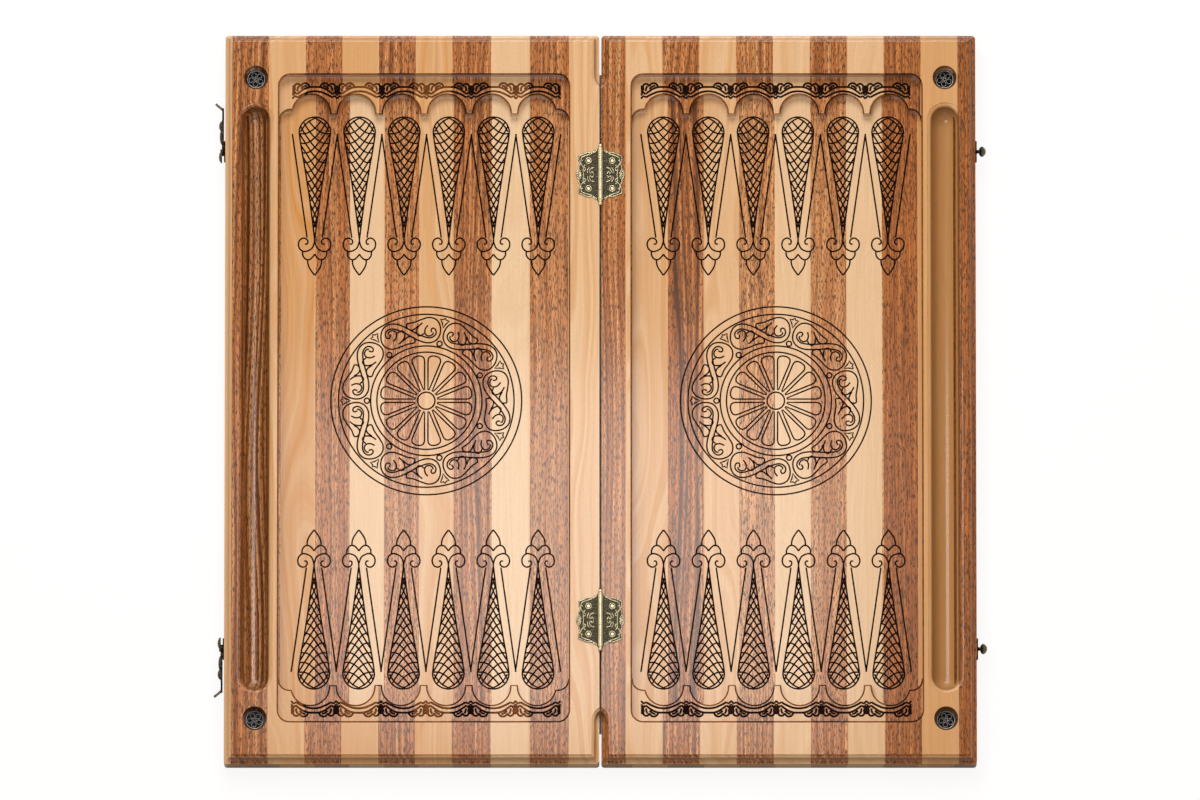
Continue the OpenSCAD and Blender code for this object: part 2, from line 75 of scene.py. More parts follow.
# Distances of the glue lines from the seam in millimetres, for each panel of staves
GLUE_LINES = {
    ("left", "top"): [25.6, 57.2, 88.8, 120.4, 150.2, 180.0, 209.8, 239.6, 269.4, 299.2],
    ("right", "top"): [20.4 + 30 * k for k in range(10)],
    ("left", "base"): [26.2, 57.2, 88.2, 119.2, 147.3, 175.4, 203.5, 231.6, 259.7],
    ("right", "base"): [25.8 + 29 * k for k in range(10)],
}

# How pale each stave is, from the seam outwards: 1 is the palest of its species
TONES = {
    ("left", "top"): (0.6, 0.45, 0.75, 0.35, 0.15, 0.4, 0.25, 0.45, 0.35, 0.3, 0.5),
    ("right", "top"): (0.35, 0.5, 0.35, 0.5, 0.55, 0.7, 0.45, 0.7, 0.25, 0.25, 0.2),
    ("left", "base"): (0.8, 0.65, 1.0, 0.3, 0.5, 0.65, 0.9, 0.45, 0.0, 0.0),
    ("right", "base"): (0.4, 0.4, 0.0, 0.6, 1.0, 0.9, 0.75, 0.9, 0.25, 0.1, 0.0),
}
# Staves of strongly striped heartwood: half, layer and place from the seam, counted from 0
STRIPED_STAVES = {("left", "base", 9)}

# What sets the two woods apart, with lengths in millimetres across, along and through the stave
WOODS = {
    "walnut": {
        # Rings about 3 mm apart that run nearly straight
        "wave_size": (34, 330, 34), "wave_depth": 30.0, "ring_pitch": 3.4, "figure_range": (0.3, 0.95),
        "fibre_range": (0.58, 1.4),
        # Open pores, really 0.3 mm wide, are drawn wider to show at all
        "tick_size": (0.8, 4.6, 0.8), "tick_edges": (0.52, 0.61), "tick_depth": 0.82, "tick_shade": 0.17,
        "tones": ((0.0, "deep", 0.3), (0.2, "deep", 0.85), (0.4, "deep", 1.2), (1.0, "pale", 1.18))},
    "beech": {
        # Rings about 9 mm apart that close into arches
        "wave_size": (44, 190, 44), "wave_depth": 95.0, "ring_pitch": 9.0, "figure_range": (0.06, 0.6),
        "fibre_range": (0.94, 1.05),
        # Flecks, really 0.2 mm wide, are drawn wider too
        "tick_size": (0.8, 3.0, 0.8), "tick_edges": (0.54, 0.7), "tick_depth": 0.16, "tick_shade": 0.7,
        "tones": ((0.0, "deep", 0.95), (1.0, "pale", 0.97))},
}
# The fibres are drawn 1.1 mm wide so that they show from above
FIBRE_SIZE = (1.1, 60, 1.1)
RING_SLOPE = 0.8
# How far apart in their logs two staves can lie
LOG_SIZE = (310, 2300, 170)
# Heights between which the painted shade in a trough fades: full at the first, gone at the second
TROUGH_SHADE_Z = (16.0, 31.0)

# The bronze from its patina to its rubbed places: where each tone stands, and its share of the colour
BRONZE_TONES = ((0.0, 0.03), (0.35, 0.24), (0.7, 1.0), (1.0, 1.5))
HINGE_WEAR_Z = (LEAF_Z - 0.05, LEAF_Z + 0.35)
LATCH_WEAR_X = (LATCH_X + 0.6, LATCH_X + 4.6)
# Painted shade: the latches stand backlit at the board's sides, so their colour is cut to this share of the
# bronze
LATCH_PAINTED_SHADE = 0.15

# How thick the burnt lines are made in millimetres, half of it in the wood
BURN_T, BORDER_BURN_T = 0.24, 0.26
# Dark lines of painted shade along the milled edges of a field
EDGE_W, EDGE_T = 1.2, 0.2
CORNER_STEPS, ARCH_STEPS = 6, 18

# The burnt figure at a point, in millimetres: across, and inwards from the top of its head
HEAD_Y, FAR_HEAD_GAP = 237.2, 2.8
HEAD_R, HEAD_STEPS = 12.8, 10
# Distances inwards, and half the spear's width there
SPEAR_WIDTHS = [(12.8, 12.8), (20, 11.9), (31, 10.1), (42, 8.1), (62, 5.0), (80, 2.6), (88, 1.6), (100, 0.2)]
FLANK_LINE = [(-ARCH_PITCH / 2, 14.0), (-6.2, 99.8)]
# The net's lines cross on the middle line every 8 mm. Each leaves one edge steeply and meets the other flat.
NET_FIRST, NET_PITCH, NET_SLOPE, NET_BEND = 1.1, 7.95, 12.2, 7.7
NET_COUNT, NET_STEPS, NET_END_Y, NET_OVERLAP = 11, 20, 93, 0.3
NET_FULL_HALF_W = 10
NET_TOP = [(0, 0.9), (3.0, 2.5), (6.3, 4.9), (9.2, 8.2), (11.6, 12.2)]
VOLUTE = [(0, 99.0), (0, 101), (-0.3, 104), (-2.6, 109), (-8.2, 111.3), (-12.0, 109.2), (-13.2, 105.4),
          (-12.2, 102.0), (-9.6, 100.2), (-6.9, 100.8), (-5.5, 102.9), (-6.2, 105), (-7.9, 105)]
LOBES = [(-9.8, 111.3), (-9.5, 114.7), (-7.2, 117.6), (-4.1, 117.8), (-1.5, 115.6), (0, 113.4)]
BUD = [(-5.6, 118.3), (-5.5, 121), (-4.6, 124), (-2.5, 127.5), (0, 130.8)]

# One bay of the border: across from the middle of its arch, and inwards from its highest line
BORDER_Y = ARCH_Y + ARCH_R + 6.4
BAY_END = ARCH_PITCH / 2
STRAP_OUTER = [(0, 0), (4.2, 0.15), (7.8, 1.3), (10.8, 3.1), (13.6, 5.2), (14.6, 6.0)]
STRAP_INNER = [(0, 3.5), (4.7, 4.1), (8.8, 5.7), (11.8, 7.2), (14.1, 8.6)]
TUFT = [(4.4, -0.2), (5.2, -1.8), (6.7, -2.9), (8.6, -3.1), (10.2, -2.3), (11.5, -0.9), (12.6, -2.1),
        (14.2, -2.6), (15.8, -1.9), (16.6, -0.4)]
VEINS = [[(6.6, -0.9), (8.6, -0.6), (11.4, 1.6)], [(12.9, -0.7), (13.9, 0.9), (14.3, 3.6)]]
# Straight folds where the straps of two bays cross, and the knot over the crossing
FOLDS = [[(14.6, 6.0), (17.2, 3.4)], [(14.1, 8.6), (16.2, 7.5), (BAY_END, 9.7)],
         [(BAY_END, 4.6), (17.0, 5.8), (BAY_END, 7.0)]]
KNOT_MID, KNOT_RADII, KNOT_STEPS = (BAY_END, 1.5), (0.9, 2.1), 12

# A medallion in millimetres: radius and points of its rings, its petals outwards and round, and its beads
MEDALLION_RINGS = ((77.5, 120), (71.3, 120), (45.2, 96), (40.1, 96), (7.05, 32))
PETAL_COUNT, PETAL_GAP = 16, 1.4
PETAL_SIDE = (9.4, 20, 32)
PETAL_CAP = [(34.0, 5.1), (35.8, 4.5), (37.0, 2.9), (37.4, 0.9)]
BEAD_R, BEAD_AT, BEAD_STEPS = 2.1, 48.2, 16
# Its scroll band: outwards and round from the middle of a cell. The cells turn one way (1) or the other (-1).
CELL_R = 57.0
CELL_TURNS = (1, -1, 1, 1, -1, 1, -1)
STEM = [(-8.4, 1.5), (-8.4, -0.9), (-8.2, -4.7), (-9.3, -11.8), (-9.5, -17.4), (-6.9, -22.4), (-2.1, -24.6),
        (3.9, -23.9), (8.8, -20.8), (10.9, -16.2), (10.4, -11.0), (7.6, -5.7), (3.3, -0.5), (-1.6, 5.1),
        (-5.2, 10.2), (-7.0, 14.4), (-6.4, 18.1), (-4.2, 20.2), (-1.2, 20.2), (0.2, 18.6), (-0.6, 17.0),
        (-2.9, 16.8)]
LEAF_LOBES = [
    [(3.2, -17.9), (4.7, -17.3), (5.5, -14.9), (4.7, -12.5), (2.3, -11.3), (-0.9, -12.3), (-3.4, -15.1)],
    [(2.4, -10.6), (3.6, -7.8), (3.1, -5.8), (0.9, -4.7), (-2.2, -5.8), (-4.7, -8.1), (-6.4, -11.3)],
    [(-8.4, 1.5), (-6.4, 2.1), (-4.3, 1.4), (-2.6, -0.8), (-2.7, -3.7), (-4.7, -7.2)]]
TREFOIL = [(61.6, 0), (65.4, 1.6), (68.1, 3.6), (68.3, 1.2), (69.8, 0), (68.3, -1.2), (68.1, -3.6),
           (65.4, -1.6)]

# A hinge leaf in millimetres: out from the pin, and along it from the leaf's middle. Its long edge drops
# towards the shell at its tip. A stretch of the rim is its first place, its last and its steps. A notch is
# its centre's place along its edge, the same outwards, and its radius.
LEAF_W, LEAF_HALF_L, LEAF_DROP = 18.0, 23.0, 7.5
LONG_EDGE_XS, SHORT_EDGE_YS, SHELL_YS = (2.9, 17.4, 16), (14.2, 4.4, 12), (3.9, 0, 6)
LONG_NOTCH, SHORT_NOTCH = (7.6, 24.4, 6.0), (9.1, 20.2, 3.2)
SHELL_X, SHELL_R = 14.6, 5.2
RIM_INSET, LEAF_RELIEF_T = 0.55, 0.66
# Leaves that follow the rim, and a sprig in the middle: common forms of cast furniture hinges
LEAF_SPRIGS = [[(4.2, 20.4), (7.2, 17.3), (11.4, 15.8), (14.6, 14.6), (15.6, 12.6), (14.4, 11.4)],
               [(15.6, 12.8), (15.9, 9.4), (14.2, 6.6), (12.2, 5.2), (12.6, 3.4), (14.2, 3.6)],
               [(12.2, 8.0), (13.6, 6.4), (14.0, 3.2), (13.6, 0)],
               [(5.0, 5.8), (7.6, 5.0), (8.8, 2.6), (8.0, 0.6)],
               [(9.0, 6.0), (10.4, 3.8), (10.2, 1.4)],
               [(5.4, 0.6), (6.6, 2.4), (8.0, 0.6)]]
LEAF_NAILS, LEAF_NAIL_RING_R, LEAF_NAIL_STEPS = ((9.6, -11.5), (9.6, 11.5)), 2.3, 20
# The shell's rays in degrees, and for each end of a ray the place of its circle and its radius
SHELL_RAYS = (-62, -38, -13, 13, 38, 62)
RAY_ENDS = ((15.2, 0.8), (14.9, 4.3))

# A disc's face in millimetres: a dark ground, and on it an eye, five petals (the first at 45 degrees) and a
# bright edge
DISC_STEPS = 64
GROUND_R, GROUND_T = 6.7, 0.06
EYE_R, EYE_STEPS = 1.1, 16
ROSETTE_COUNT, ROSETTE_START = 5, 45
ROSETTE_PETAL = [(1.6, 0), (3.4, 1.7), (5.0, 1.6), (5.8, 0), (5.0, -1.6), (3.4, -1.7)]
ROSETTE_W, ROSETTE_T = 0.36, 0.3
DISC_EDGE_R, DISC_EDGE_W, DISC_EDGE_T = 7.0, 0.6, 0.4

# The latches' raised work in millimetres, along and across a plate or a hook from its rivet. A ring is its
# radius, its points and its middle.
PLATE_RINGS = ((4.1, 32, (0, 0)), (2.9, 24, (0, 0)), (1.9, 16, (-6.4, 0)), (1.9, 16, (6.4, 0)))
STRAND_COUNT, STRAND_ENDS = 12, (3.0, 4.0)
PLATE_LINE_W, PLATE_LINE_T = 0.45, 0.3
HOOK_VEINS = [[(3.0, 1.3), (7.0, 1.45), (11.0, 1.3), (12.6, 2.0), (15.0, 2.4), (17.4, 2.0), (19.0, 1.3),
               (23.0, 1.4), (26.0, 1.5)],
              [(4.2, 0), (7.5, 0.5), (10.5, 0)]]
HOOK_RINGS = ((1.4, 16, (15, 0)), (3.05, 28, (0, 0)))
HOOK_LINE_W, HOOK_LINE_T = 0.6, 0.5
# The cast arm swells behind the tab and at the leaf, and cups over the rivet: each swell's place and radii
HOOK_SWELLS = (((20.9, 0), (4.3, 2.3, 2.5)), ((12.2, 0), (6.6, 2.2, 1.9)), ((-4.6, 0), (5.0, 2.9, 2.6)))
# Turned from lying flat to standing on the board's side
STAND = (math.pi / 2, 0, math.pi / 2)

# The stage in metres. Two rectangles of the paper, given by half their sizes, are dim: a strip under the
# seam, and what glossy sides mirror of the paper beside the board.
PAPER_SIZE, PAPER_DROP = 14, 0.0002
GAP_SHADE_HALF, SIDE_SHADE_HALF = (0.004, 0.272), (0.33, 0.32)
# Share of the paper's glow, so that the rest shows the board's shadow
GLOW_SHARE = 0.86
# The matt light that fills the shades is warm, from the wood around them
SHADE_TINT = (1.0, 0.8, 0.56, 1)
# A large lamp far behind the board, and a wide soft card above it that hazes the near part
LAMPS = {"key": {"place": (-0.4, 2.1, 2.85), "size": (2.4, 1.6), "power": 63.0},
         "card": {"place": (-0.03, 0.035, 1.03), "size": (0.48, 0.33), "power": 2.75}}
# The camera stands far off, 10 degrees from straight above, and sees this width at the board's faces
CAMERA_TILT = math.radians(10)
CAMERA_DISTANCE = 20.0
VIEW_W = 0.9737
AIM = Vector((-0.0003, -0.0024, FACE_Z * MM))
SENSOR_W = 36


def linear(code):
    """Turn an sRGB hex code into Blender's linear colour."""
    parts = [int(code[k:k + 2], 16) / 255 for k in (1, 3, 5)]
    return tuple(p / 12.92 if p <= 0.04045 else ((p + 0.055) / 1.055) ** 2.4 for p in parts)


class BoardSizes(bpy.types.PropertyGroup):
    """Sizes of the burnt ornament and of the raised work on the metal parts."""
    line_w: bpy.props.FloatProperty(
        name="Burnt line", description="Width of a burnt line on the playing floor",
        default=1.3 * MM, min=0.5 * MM, max=2 * MM, subtype="DISTANCE")
    border_line_w: bpy.props.FloatProperty(
        name="Border line", description="Width of a burnt line in the borders over the arches",
        default=1.75 * MM, min=0.5 * MM, max=2.5 * MM, subtype="DISTANCE")
    medallion_line_w: bpy.props.FloatProperty(
        name="Medallion line", description="Width of a burnt line in the medallions",
        default=1.25 * MM, min=0.5 * MM, max=2 * MM, subtype="DISTANCE")
    relief_w: bpy.props.FloatProperty(
        name="Relief line", description="Width of the raised lines on the hinge leaves",
        default=0.9 * MM, min=0.3 * MM, max=1.5 * MM, subtype="DISTANCE")


class BoardColours(bpy.types.PropertyGroup):
    """Colours of the woods, the burnt lines and the metals."""
    walnut: bpy.props.FloatVectorProperty(
        name="Walnut", description="Pale tone of the lacquered walnut",
        default=linear("#d09d6c"), subtype="COLOR", min=0, max=1)
    walnut_deep: bpy.props.FloatVectorProperty(
        name="Walnut, deep", description="Deep tone of the lacquered walnut",
        default=linear("#a8642e"), subtype="COLOR", min=0, max=1)
    beech: bpy.props.FloatVectorProperty(
        name="Beech", description="Pale tone of the lacquered beech",
        default=linear("#f2d1ab"), subtype="COLOR", min=0, max=1)
    beech_deep: bpy.props.FloatVectorProperty(
        name="Beech, deep", description="Deep tone of the lacquered beech",
        default=linear("#d89850"), subtype="COLOR", min=0, max=1)
    burnt: bpy.props.FloatVectorProperty(
        name="Burnt wood", description="Colour of the burnt lines",
        default=linear("#1a0d0a"), subtype="COLOR", min=0, max=1)
    scorch: bpy.props.FloatVectorProperty(
        name="Scorch", description="Colour of the weaker burnt lines on the left half's beech",
        default=linear("#7d4a26"), subtype="COLOR", min=0, max=1)
    # The two edge colours are painted shade along the fields' milled edges
    walnut_edge_shade: bpy.props.FloatVectorProperty(
        name="Walnut edge", description="Colour of the milled edges where they cross walnut",
        default=linear("#3c2014"), subtype="COLOR", min=0, max=1)
    beech_edge_shade: bpy.props.FloatVectorProperty(
        name="Beech edge", description="Colour of the milled edges where they cross beech",
        default=linear("#8d5429"), subtype="COLOR", min=0, max=1)
    bronze: bpy.props.FloatVectorProperty(
        name="Antique bronze", description="Colour of the rubbed high places of the hinges",
        default=linear("#c6b894"), subtype="COLOR", min=0, max=1)
    nickel: bpy.props.FloatVectorProperty(
        name="Nickel plate", description="Colour of the bright plating on the discs",
        default=linear("#cfccc4"), subtype="COLOR", min=0, max=1)
    black_nickel: bpy.props.FloatVectorProperty(
        name="Blackened nickel", description="Colour of the dark ground on the discs",
        default=linear("#151417"), subtype="COLOR", min=0, max=1)


# Inputs 1 to 4 of MapRange are the range it takes and the range it gives. Inputs 6 and 7 of Mix are colours.
def add(tree, kind, settings=None, inputs=None):
    """Add a shader node. An input that is given a node or a socket is linked, and any other is set."""
    node = tree.nodes.new("ShaderNode" + kind)
    for key, value in (settings or {}).items():
        setattr(node, key, value)
    for key, value in (inputs or {}).items():
        if isinstance(value, bpy.types.Node):
            value = value.outputs[0]
        if isinstance(value, bpy.types.NodeSocket):
            tree.links.new(value, node.inputs[key])
        else:
            node.inputs[key].default_value = value
    return node


def set_ramp(node, stops, interpolation="LINEAR"):
    """Give a colour ramp its stops, each a place and a colour."""
    ramp = node.color_ramp
    ramp.interpolation = interpolation
    while len(ramp.elements) > 1:
        ramp.elements.remove(ramp.elements[-1])
    for k, (place, colour) in enumerate(stops):
        element = ramp.elements[0] if k == 0 else ramp.elements.new(place)
        element.position = place
        element.color = (*colour, 1)
    return node


def shade(colour, factor):
    """A colour made lighter or darker."""
    return tuple(min(1.0, part * factor) for part in colour)


def start_material(name):
    """Make an empty material and give it with its node tree."""
    material = bpy.data.materials.new(name)
    material.use_nodes = True
    material.node_tree.nodes.clear()
    return material, material.node_tree


def stave_marks(side, layer):
    """Ramp stops that give each stave its own tone, place in the log and strength of figure."""
    stops = []
    for k, line in enumerate([0.0] + GLUE_LINES[side, layer]):
        # Sines of the stave's number scatter the places and the figures
        seed = (k + 1) * (3 if side == "left" else 5) + (7 if layer == "top" else 0)
        place = 0.5 + 0.5 * math.sin(seed * 5.1 + 1.0)
        figure = 0.3 + 0.3 * math.sin(seed * 3.7 + 2.0)
        if (side, layer, k) in STRIPED_STAVES:
            figure = 1.0
        stops.append((line / HALF_W, (TONES[side, layer][k], place, figure)))
    return stops


def end_grain_and_painted_shade(tree, coordinates, parts, across):
    """How light the wood is: darker on its sawn ends, and with painted shade on its upright walls and in the
    troughs.
    """
    normal = add(tree, "SeparateXYZ", None, {0: coordinates.outputs["Normal"]})
    # The sawn ends soak up more lacquer and stay darker
    endwise = add(tree, "Math", {"operation": "ABSOLUTE"}, {0: normal.outputs["Y"]})
    end_level = add(tree, "MapRange", None, {0: endwise, 1: 0.5, 2: 1.0, 3: 1.0, 4: 0.7})
    # Painted shade: every upright face is made darker, for the shaded walls of the recesses
    upward = add(tree, "Math", {"operation": "ABSOLUTE"}, {0: normal.outputs["Z"]})
    painted_wall_shade = add(tree, "MapRange", None, {0: upward, 1: 0.1, 2: 0.9, 3: 0.66, 4: 1.0})
    # Painted shade: the troughs grow darker with depth, as shade gathers low in them
    deep_z, high_z = TROUGH_SHADE_Z
    in_trough = add(tree, "Math", {"operation": "COMPARE"}, {0: across, 1: TROUGH_X, 2: TROUGH_HALF_W})
    painted_depth_shade = add(tree, "MapRange", None, {0: parts.outputs["Z"], 1: deep_z, 2: high_z, 3: 0.74, 4: 1.0})
    painted_trough_shade = add(tree, "Mix", None, {0: in_trough, 2: 1.0, 3: painted_depth_shade})
    end_grain_and_wall_shade = add(tree, "Math", {"operation": "MULTIPLY"}, {0: end_level, 1: painted_wall_shade})
    return add(tree, "Math", {"operation": "MULTIPLY"}, {0: end_grain_and_wall_shade, 1: painted_trough_shade})


def lacquered_wood(species, side, layer, colours):
    """Planed wood under clear lacquer: its rings, fibres and pores show through a soft gloss."""
    material, tree = start_material(f"Lacquered {species}, {side} {layer}")
    wood = WOODS[species]
    tones = {"pale": getattr(colours, species), "deep": getattr(colours, f"{species}_deep")}
    coordinates = add(tree, "TexCoord")
    in_mm = add(tree, "VectorMath", {"operation": "SCALE"},
                {0: coordinates.outputs["Object"], "Scale": 1 / MM})
    parts = add(tree, "SeparateXYZ", None, {0: in_mm})
    across = add(tree, "Math", {"operation": "ABSOLUTE"}, {0: parts.outputs["X"]})
    share = add(tree, "Math", {"operation": "DIVIDE"}, {0: across, 1: HALF_W})
    marks = set_ramp(add(tree, "ValToRGB", None, {0: share}), stave_marks(side, layer), "CONSTANT")
    mark = add(tree, "SeparateColor", None, {0: marks})
    shift = add(tree, "VectorMath", {"operation": "MULTIPLY"}, {0: marks, 1: LOG_SIZE})
    place = add(tree, "VectorMath", {"operation": "ADD"}, {0: in_mm, 1: shift})
    noises = {}
    for pattern, size, detail, roughness in (("waves", wood["wave_size"], 1.0, 0.4),
                                             ("fibre", FIBRE_SIZE, 2.0, 0.6),
                                             ("ticks", wood["tick_size"], 1.5, 0.6)):
        at = add(tree, "VectorMath", {"operation": "MULTIPLY"}, {0: place, 1: [1 / part for part in size]})
        noises[pattern] = add(tree, "TexNoise", None, {
            "Vector": at, "Scale": 1.0, "Detail": detail, "Roughness": roughness})

    # Growth rings, some wide and some narrow, slope through the log and are bent by slow waves
    log = add(tree, "SeparateXYZ", None, {0: place})
    slope = add(tree, "Math", {"operation": "MULTIPLY_ADD"},
                {0: log.outputs["Z"], 1: RING_SLOPE, 2: log.outputs["X"]})
    wave_mm = add(tree, "Math", {"operation": "MULTIPLY"}, {0: noises["waves"], 1: wood["wave_depth"]})
    ring_mm = add(tree, "Math", {"operation": "ADD"}, {0: slope, 1: wave_mm})
    ring_at = add(tree, "Math", {"operation": "MULTIPLY"}, {0: ring_mm, 1: 1 / wood["ring_pitch"]})
    rings = add(tree, "TexNoise", {"noise_dimensions": "1D"},
                {"W": ring_at, "Scale": 1.0, "Detail": 3.0, "Roughness": 0.55})
    ring_share = add(tree, "MapRange", None, {0: rings, 1: 0.34, 2: 0.66})

    # A stave has its own tone, and its rings turn that paler and deeper as strongly as it is figured
    weak, strong = wood["figure_range"]
    figure = add(tree, "MapRange", None, {0: mark.outputs["Blue"], 3: weak, 4: strong})
    level = add(tree, "Mix", None, {0: figure, 2: mark.outputs["Red"], 3: ring_share})
    body = set_ramp(add(tree, "ValToRGB", None, {0: level}),
                    [(stop, shade(tones[tone], factor)) for stop, tone, factor in wood["tones"]])
    dark, light = wood["fibre_range"]
    combing = add(tree, "MapRange", None,
                  {0: noises["fibre"], 1: NOISE_LOW, 2: NOISE_HIGH, 3: dark, 4: light})
    combed = add(tree, "VectorMath", {"operation": "SCALE"}, {0: body, "Scale": combing})
    tick_start, tick_full = wood["tick_edges"]
    ticks = set_ramp(add(tree, "ValToRGB", None, {0: noises["ticks"]}),
                     [(tick_start, BLACK), (tick_full, WHITE)])
    tick_share = add(tree, "Math", {"operation": "MULTIPLY"}, {0: ticks, 1: wood["tick_depth"]})
    ticked = add(tree, "Mix", {"data_type": "RGBA"},
                 {0: tick_share, 6: combed, 7: (*shade(tones["deep"], wood["tick_shade"]), 1)})
    # The end grain's darkening and the painted shade of walls and troughs scale the colour
    final = add(tree, "VectorMath", {"operation": "SCALE"},
                {0: ticked.outputs[2], "Scale": end_grain_and_painted_shade(tree, coordinates, parts, across)})

    # The lacquer nearly fills the pores and follows the fibres very slightly
    relief = add(tree, "Math", {"operation": "MULTIPLY_ADD"}, {0: ticks, 1: -0.6, 2: noises["fibre"]})
    bump = add(tree, "Bump", None, {"Strength": 0.3, "Distance": 0.06 * MM, "Height": relief})
    gloss = add(tree, "MapRange", None, {0: noises["fibre"], 3: 0.3, 4: 0.45})
    shader = add(tree, "BsdfPrincipled", None, {
        "Base Color": final, "Roughness": gloss, "Normal": bump,
        "Specular IOR Level": 0.1, "Coat Weight": 0.8, "Coat Roughness": 0.17})
    add(tree, "OutputMaterial", None, {"Surface": shader})
    return material


def burnt_wood_and_edge_shade(side, place, on_walnut, on_beech):
    """Wood scorched by a hot point, matt and dark, and browner where the stave under it is beech. Made with
    the edge colours, it is painted shade along the milled edges.
    """
    material, tree = start_material(f"Burnt wood, {side} {place}")
    coordinates = add(tree, "TexCoord")
    parts = add(tree, "SeparateXYZ", None, {0: coordinates.outputs["Object"]})
    across = add(tree, "Math", {"operation": "ABSOLUTE"}, {0: parts.outputs["X"]})
    share = add(tree, "Math", {"operation": "DIVIDE"}, {0: across, 1: HALF_W * MM})
    beech_first = 0 if side == "left" else 1
    stops = [(line / HALF_W, (on_beech if k % 2 == beech_first else on_walnut))
             for k, line in enumerate([0.0] + GLUE_LINES[side, "top"])]
    under = set_ramp(add(tree, "ValToRGB", None, {0: share}), stops, "CONSTANT")
    # Scorch that changes every 3 mm or so along a line
    patches = add(tree, "TexNoise", None,
                  {"Vector": coordinates.outputs["Object"], "Scale": 330.0, "Detail": 3.0})
    strength = add(tree, "MapRange", None, {0: patches, 1: NOISE_LOW, 2: NOISE_HIGH, 3: 0.6, 4: 1.4})
    tone = add(tree, "VectorMath", {"operation": "SCALE"}, {0: under, "Scale": strength})
    shader = add(tree, "BsdfPrincipled", None, {
        "Base Color": tone, "Roughness": 0.8, "Specular IOR Level": 0.05})
    add(tree, "OutputMaterial", None, {"Surface": shader})
    return material


def antique_bronze(name, colour, axis, wear, painted_shade_share=1.0):
    """Cast bronze with a dark patina, rubbed off more and more between two distances along an axis. A share
    below 1 darkens its whole colour as painted shade.
    """
    material, tree = start_material(name)
    coordinates = add(tree, "TexCoord")
    parts = add(tree, "SeparateXYZ", None, {0: coordinates.outputs["Object"]})
    height = add(tree, "Math", {"operation": "ABSOLUTE"}, {0: parts.outputs[axis]})
    rubbed = add(tree, "MapRange", None, {0: height, 1: wear[0] * MM, 2: wear[1] * MM})
    # Cast skin with grains 0.8 mm across
    grain = add(tree, "TexNoise", None,
                {"Vector": coordinates.outputs["Object"], "Scale": 1250.0, "Detail": 3.0, "Roughness": 0.6})
    spread = add(tree, "MapRange", None, {0: grain, 1: NOISE_LOW, 2: NOISE_HIGH, 3: -0.45, 4: 0.45})
    worn = add(tree, "Math", {"operation": "ADD", "use_clamp": True}, {0: rubbed, 1: spread})
    # A share below 1 cuts the whole colour: painted shade
    tone = set_ramp(add(tree, "ValToRGB", None, {0: worn}),
                    [(place, shade(colour, share * painted_shade_share)) for place, share in BRONZE_TONES])
    bump = add(tree, "Bump", None, {"Strength": 0.9, "Distance": 0.2 * MM, "Height": grain})
    rough = add(tree, "MapRange", None, {0: worn, 3: 0.6, 4: 0.38})
    shader = add(tree, "BsdfPrincipled", None, {
        "Base Color": tone, "Metallic": 1.0, "Roughness": rough, "Normal": bump})
    add(tree, "OutputMaterial", None, {"Surface": shader})
    return material


def nickel_plate(name, colour, roughness):
    """Nickel over brass, bright or blackened, with faint scratches that only soften the reflection."""
    material, tree = start_material(name)
    coordinates = add(tree, "TexCoord")
    # Handling marks 0.3 mm apart
    marks = add(tree, "TexNoise", None,
                {"Vector": coordinates.outputs["Object"], "Scale": 3300.0, "Detail": 2.0})
    tone = set_ramp(add(tree, "ValToRGB", None, {0: marks}),
                    [(NOISE_LOW, shade(colour, 0.8)), (NOISE_HIGH, shade(colour, 1.05))])
    rough = add(tree, "MapRange", None, {0: marks, 3: roughness, 4: roughness + 0.15})
    shader = add(tree, "BsdfPrincipled", None, {"Base Color": tone, "Metallic": 1.0, "Roughness": rough})
    add(tree, "OutputMaterial", None, {"Surface": shader})
    return material


def dress(piece, material):
    """Give a piece its only material."""
    piece.data.materials.clear()
    piece.data.materials.append(material)


def select_only(*pieces):
    """Select these pieces and nothing else. The first is active."""
    bpy.ops.object.select_all(action="DESELECT")
    for piece in pieces:
        piece.select_set(True)
    bpy.context.view_layer.objects.active = pieces[0]


def settle(piece, place=(0, 0, 0), turn=(0, 0, 0), scale=(1, 1, 1)):
    """Scale and turn a piece, move it to a place in millimetres and put all that into its mesh."""
    piece.location = Vector(place) * MM
    piece.rotation_euler = turn
    piece.scale = scale
    select_only(piece)
    bpy.ops.object.transform_apply(location=True, rotation=True, scale=True)
    bpy.ops.object.mode_set(mode="EDIT")
    bpy.ops.mesh.select_all(action="SELECT")
    bpy.ops.mesh.normals_make_consistent(inside=False)
    bpy.ops.object.mode_set(mode="OBJECT")
    return piece


def copy_of(source, name, place=(0, 0, 0), turn=(0, 0, 0), scale=(1, 1, 1)):
    """Copy a piece with its own mesh to a place in millimetres."""
    piece = source.copy()
    piece.data = source.data.copy()
    piece.name = name
    bpy.context.collection.objects.link(piece)
    return settle(piece, place, turn, scale)


def join(name, pieces):
    """Join pieces into one."""
    select_only(*pieces)
    bpy.ops.object.join()
    piece = bpy.context.view_layer.objects.active
    piece.name = name
    piece.data.name = name
    return piece


def remove(*pieces):
    """Delete the patterns that copies were taken from."""
    select_only(*pieces)
    bpy.ops.object.delete()


def evenly(first, last, steps):
    """Numbers in even steps from the first to the last."""
    return [first + (last - first) * k / steps for k in range(steps + 1)]


def arc(centre, radius, first, last, steps):
    """Points round a centre from one angle to another."""
    return [(centre[0] + radius * math.cos(angle), centre[1] + radius * math.sin(angle))
            for angle in evenly(first, last, steps)]


def ring(radius, steps, centre=(0, 0)):
    """Points all round a circle, to be closed."""
    return arc(centre, radius, 0, 2 * math.pi, steps)[:-1]


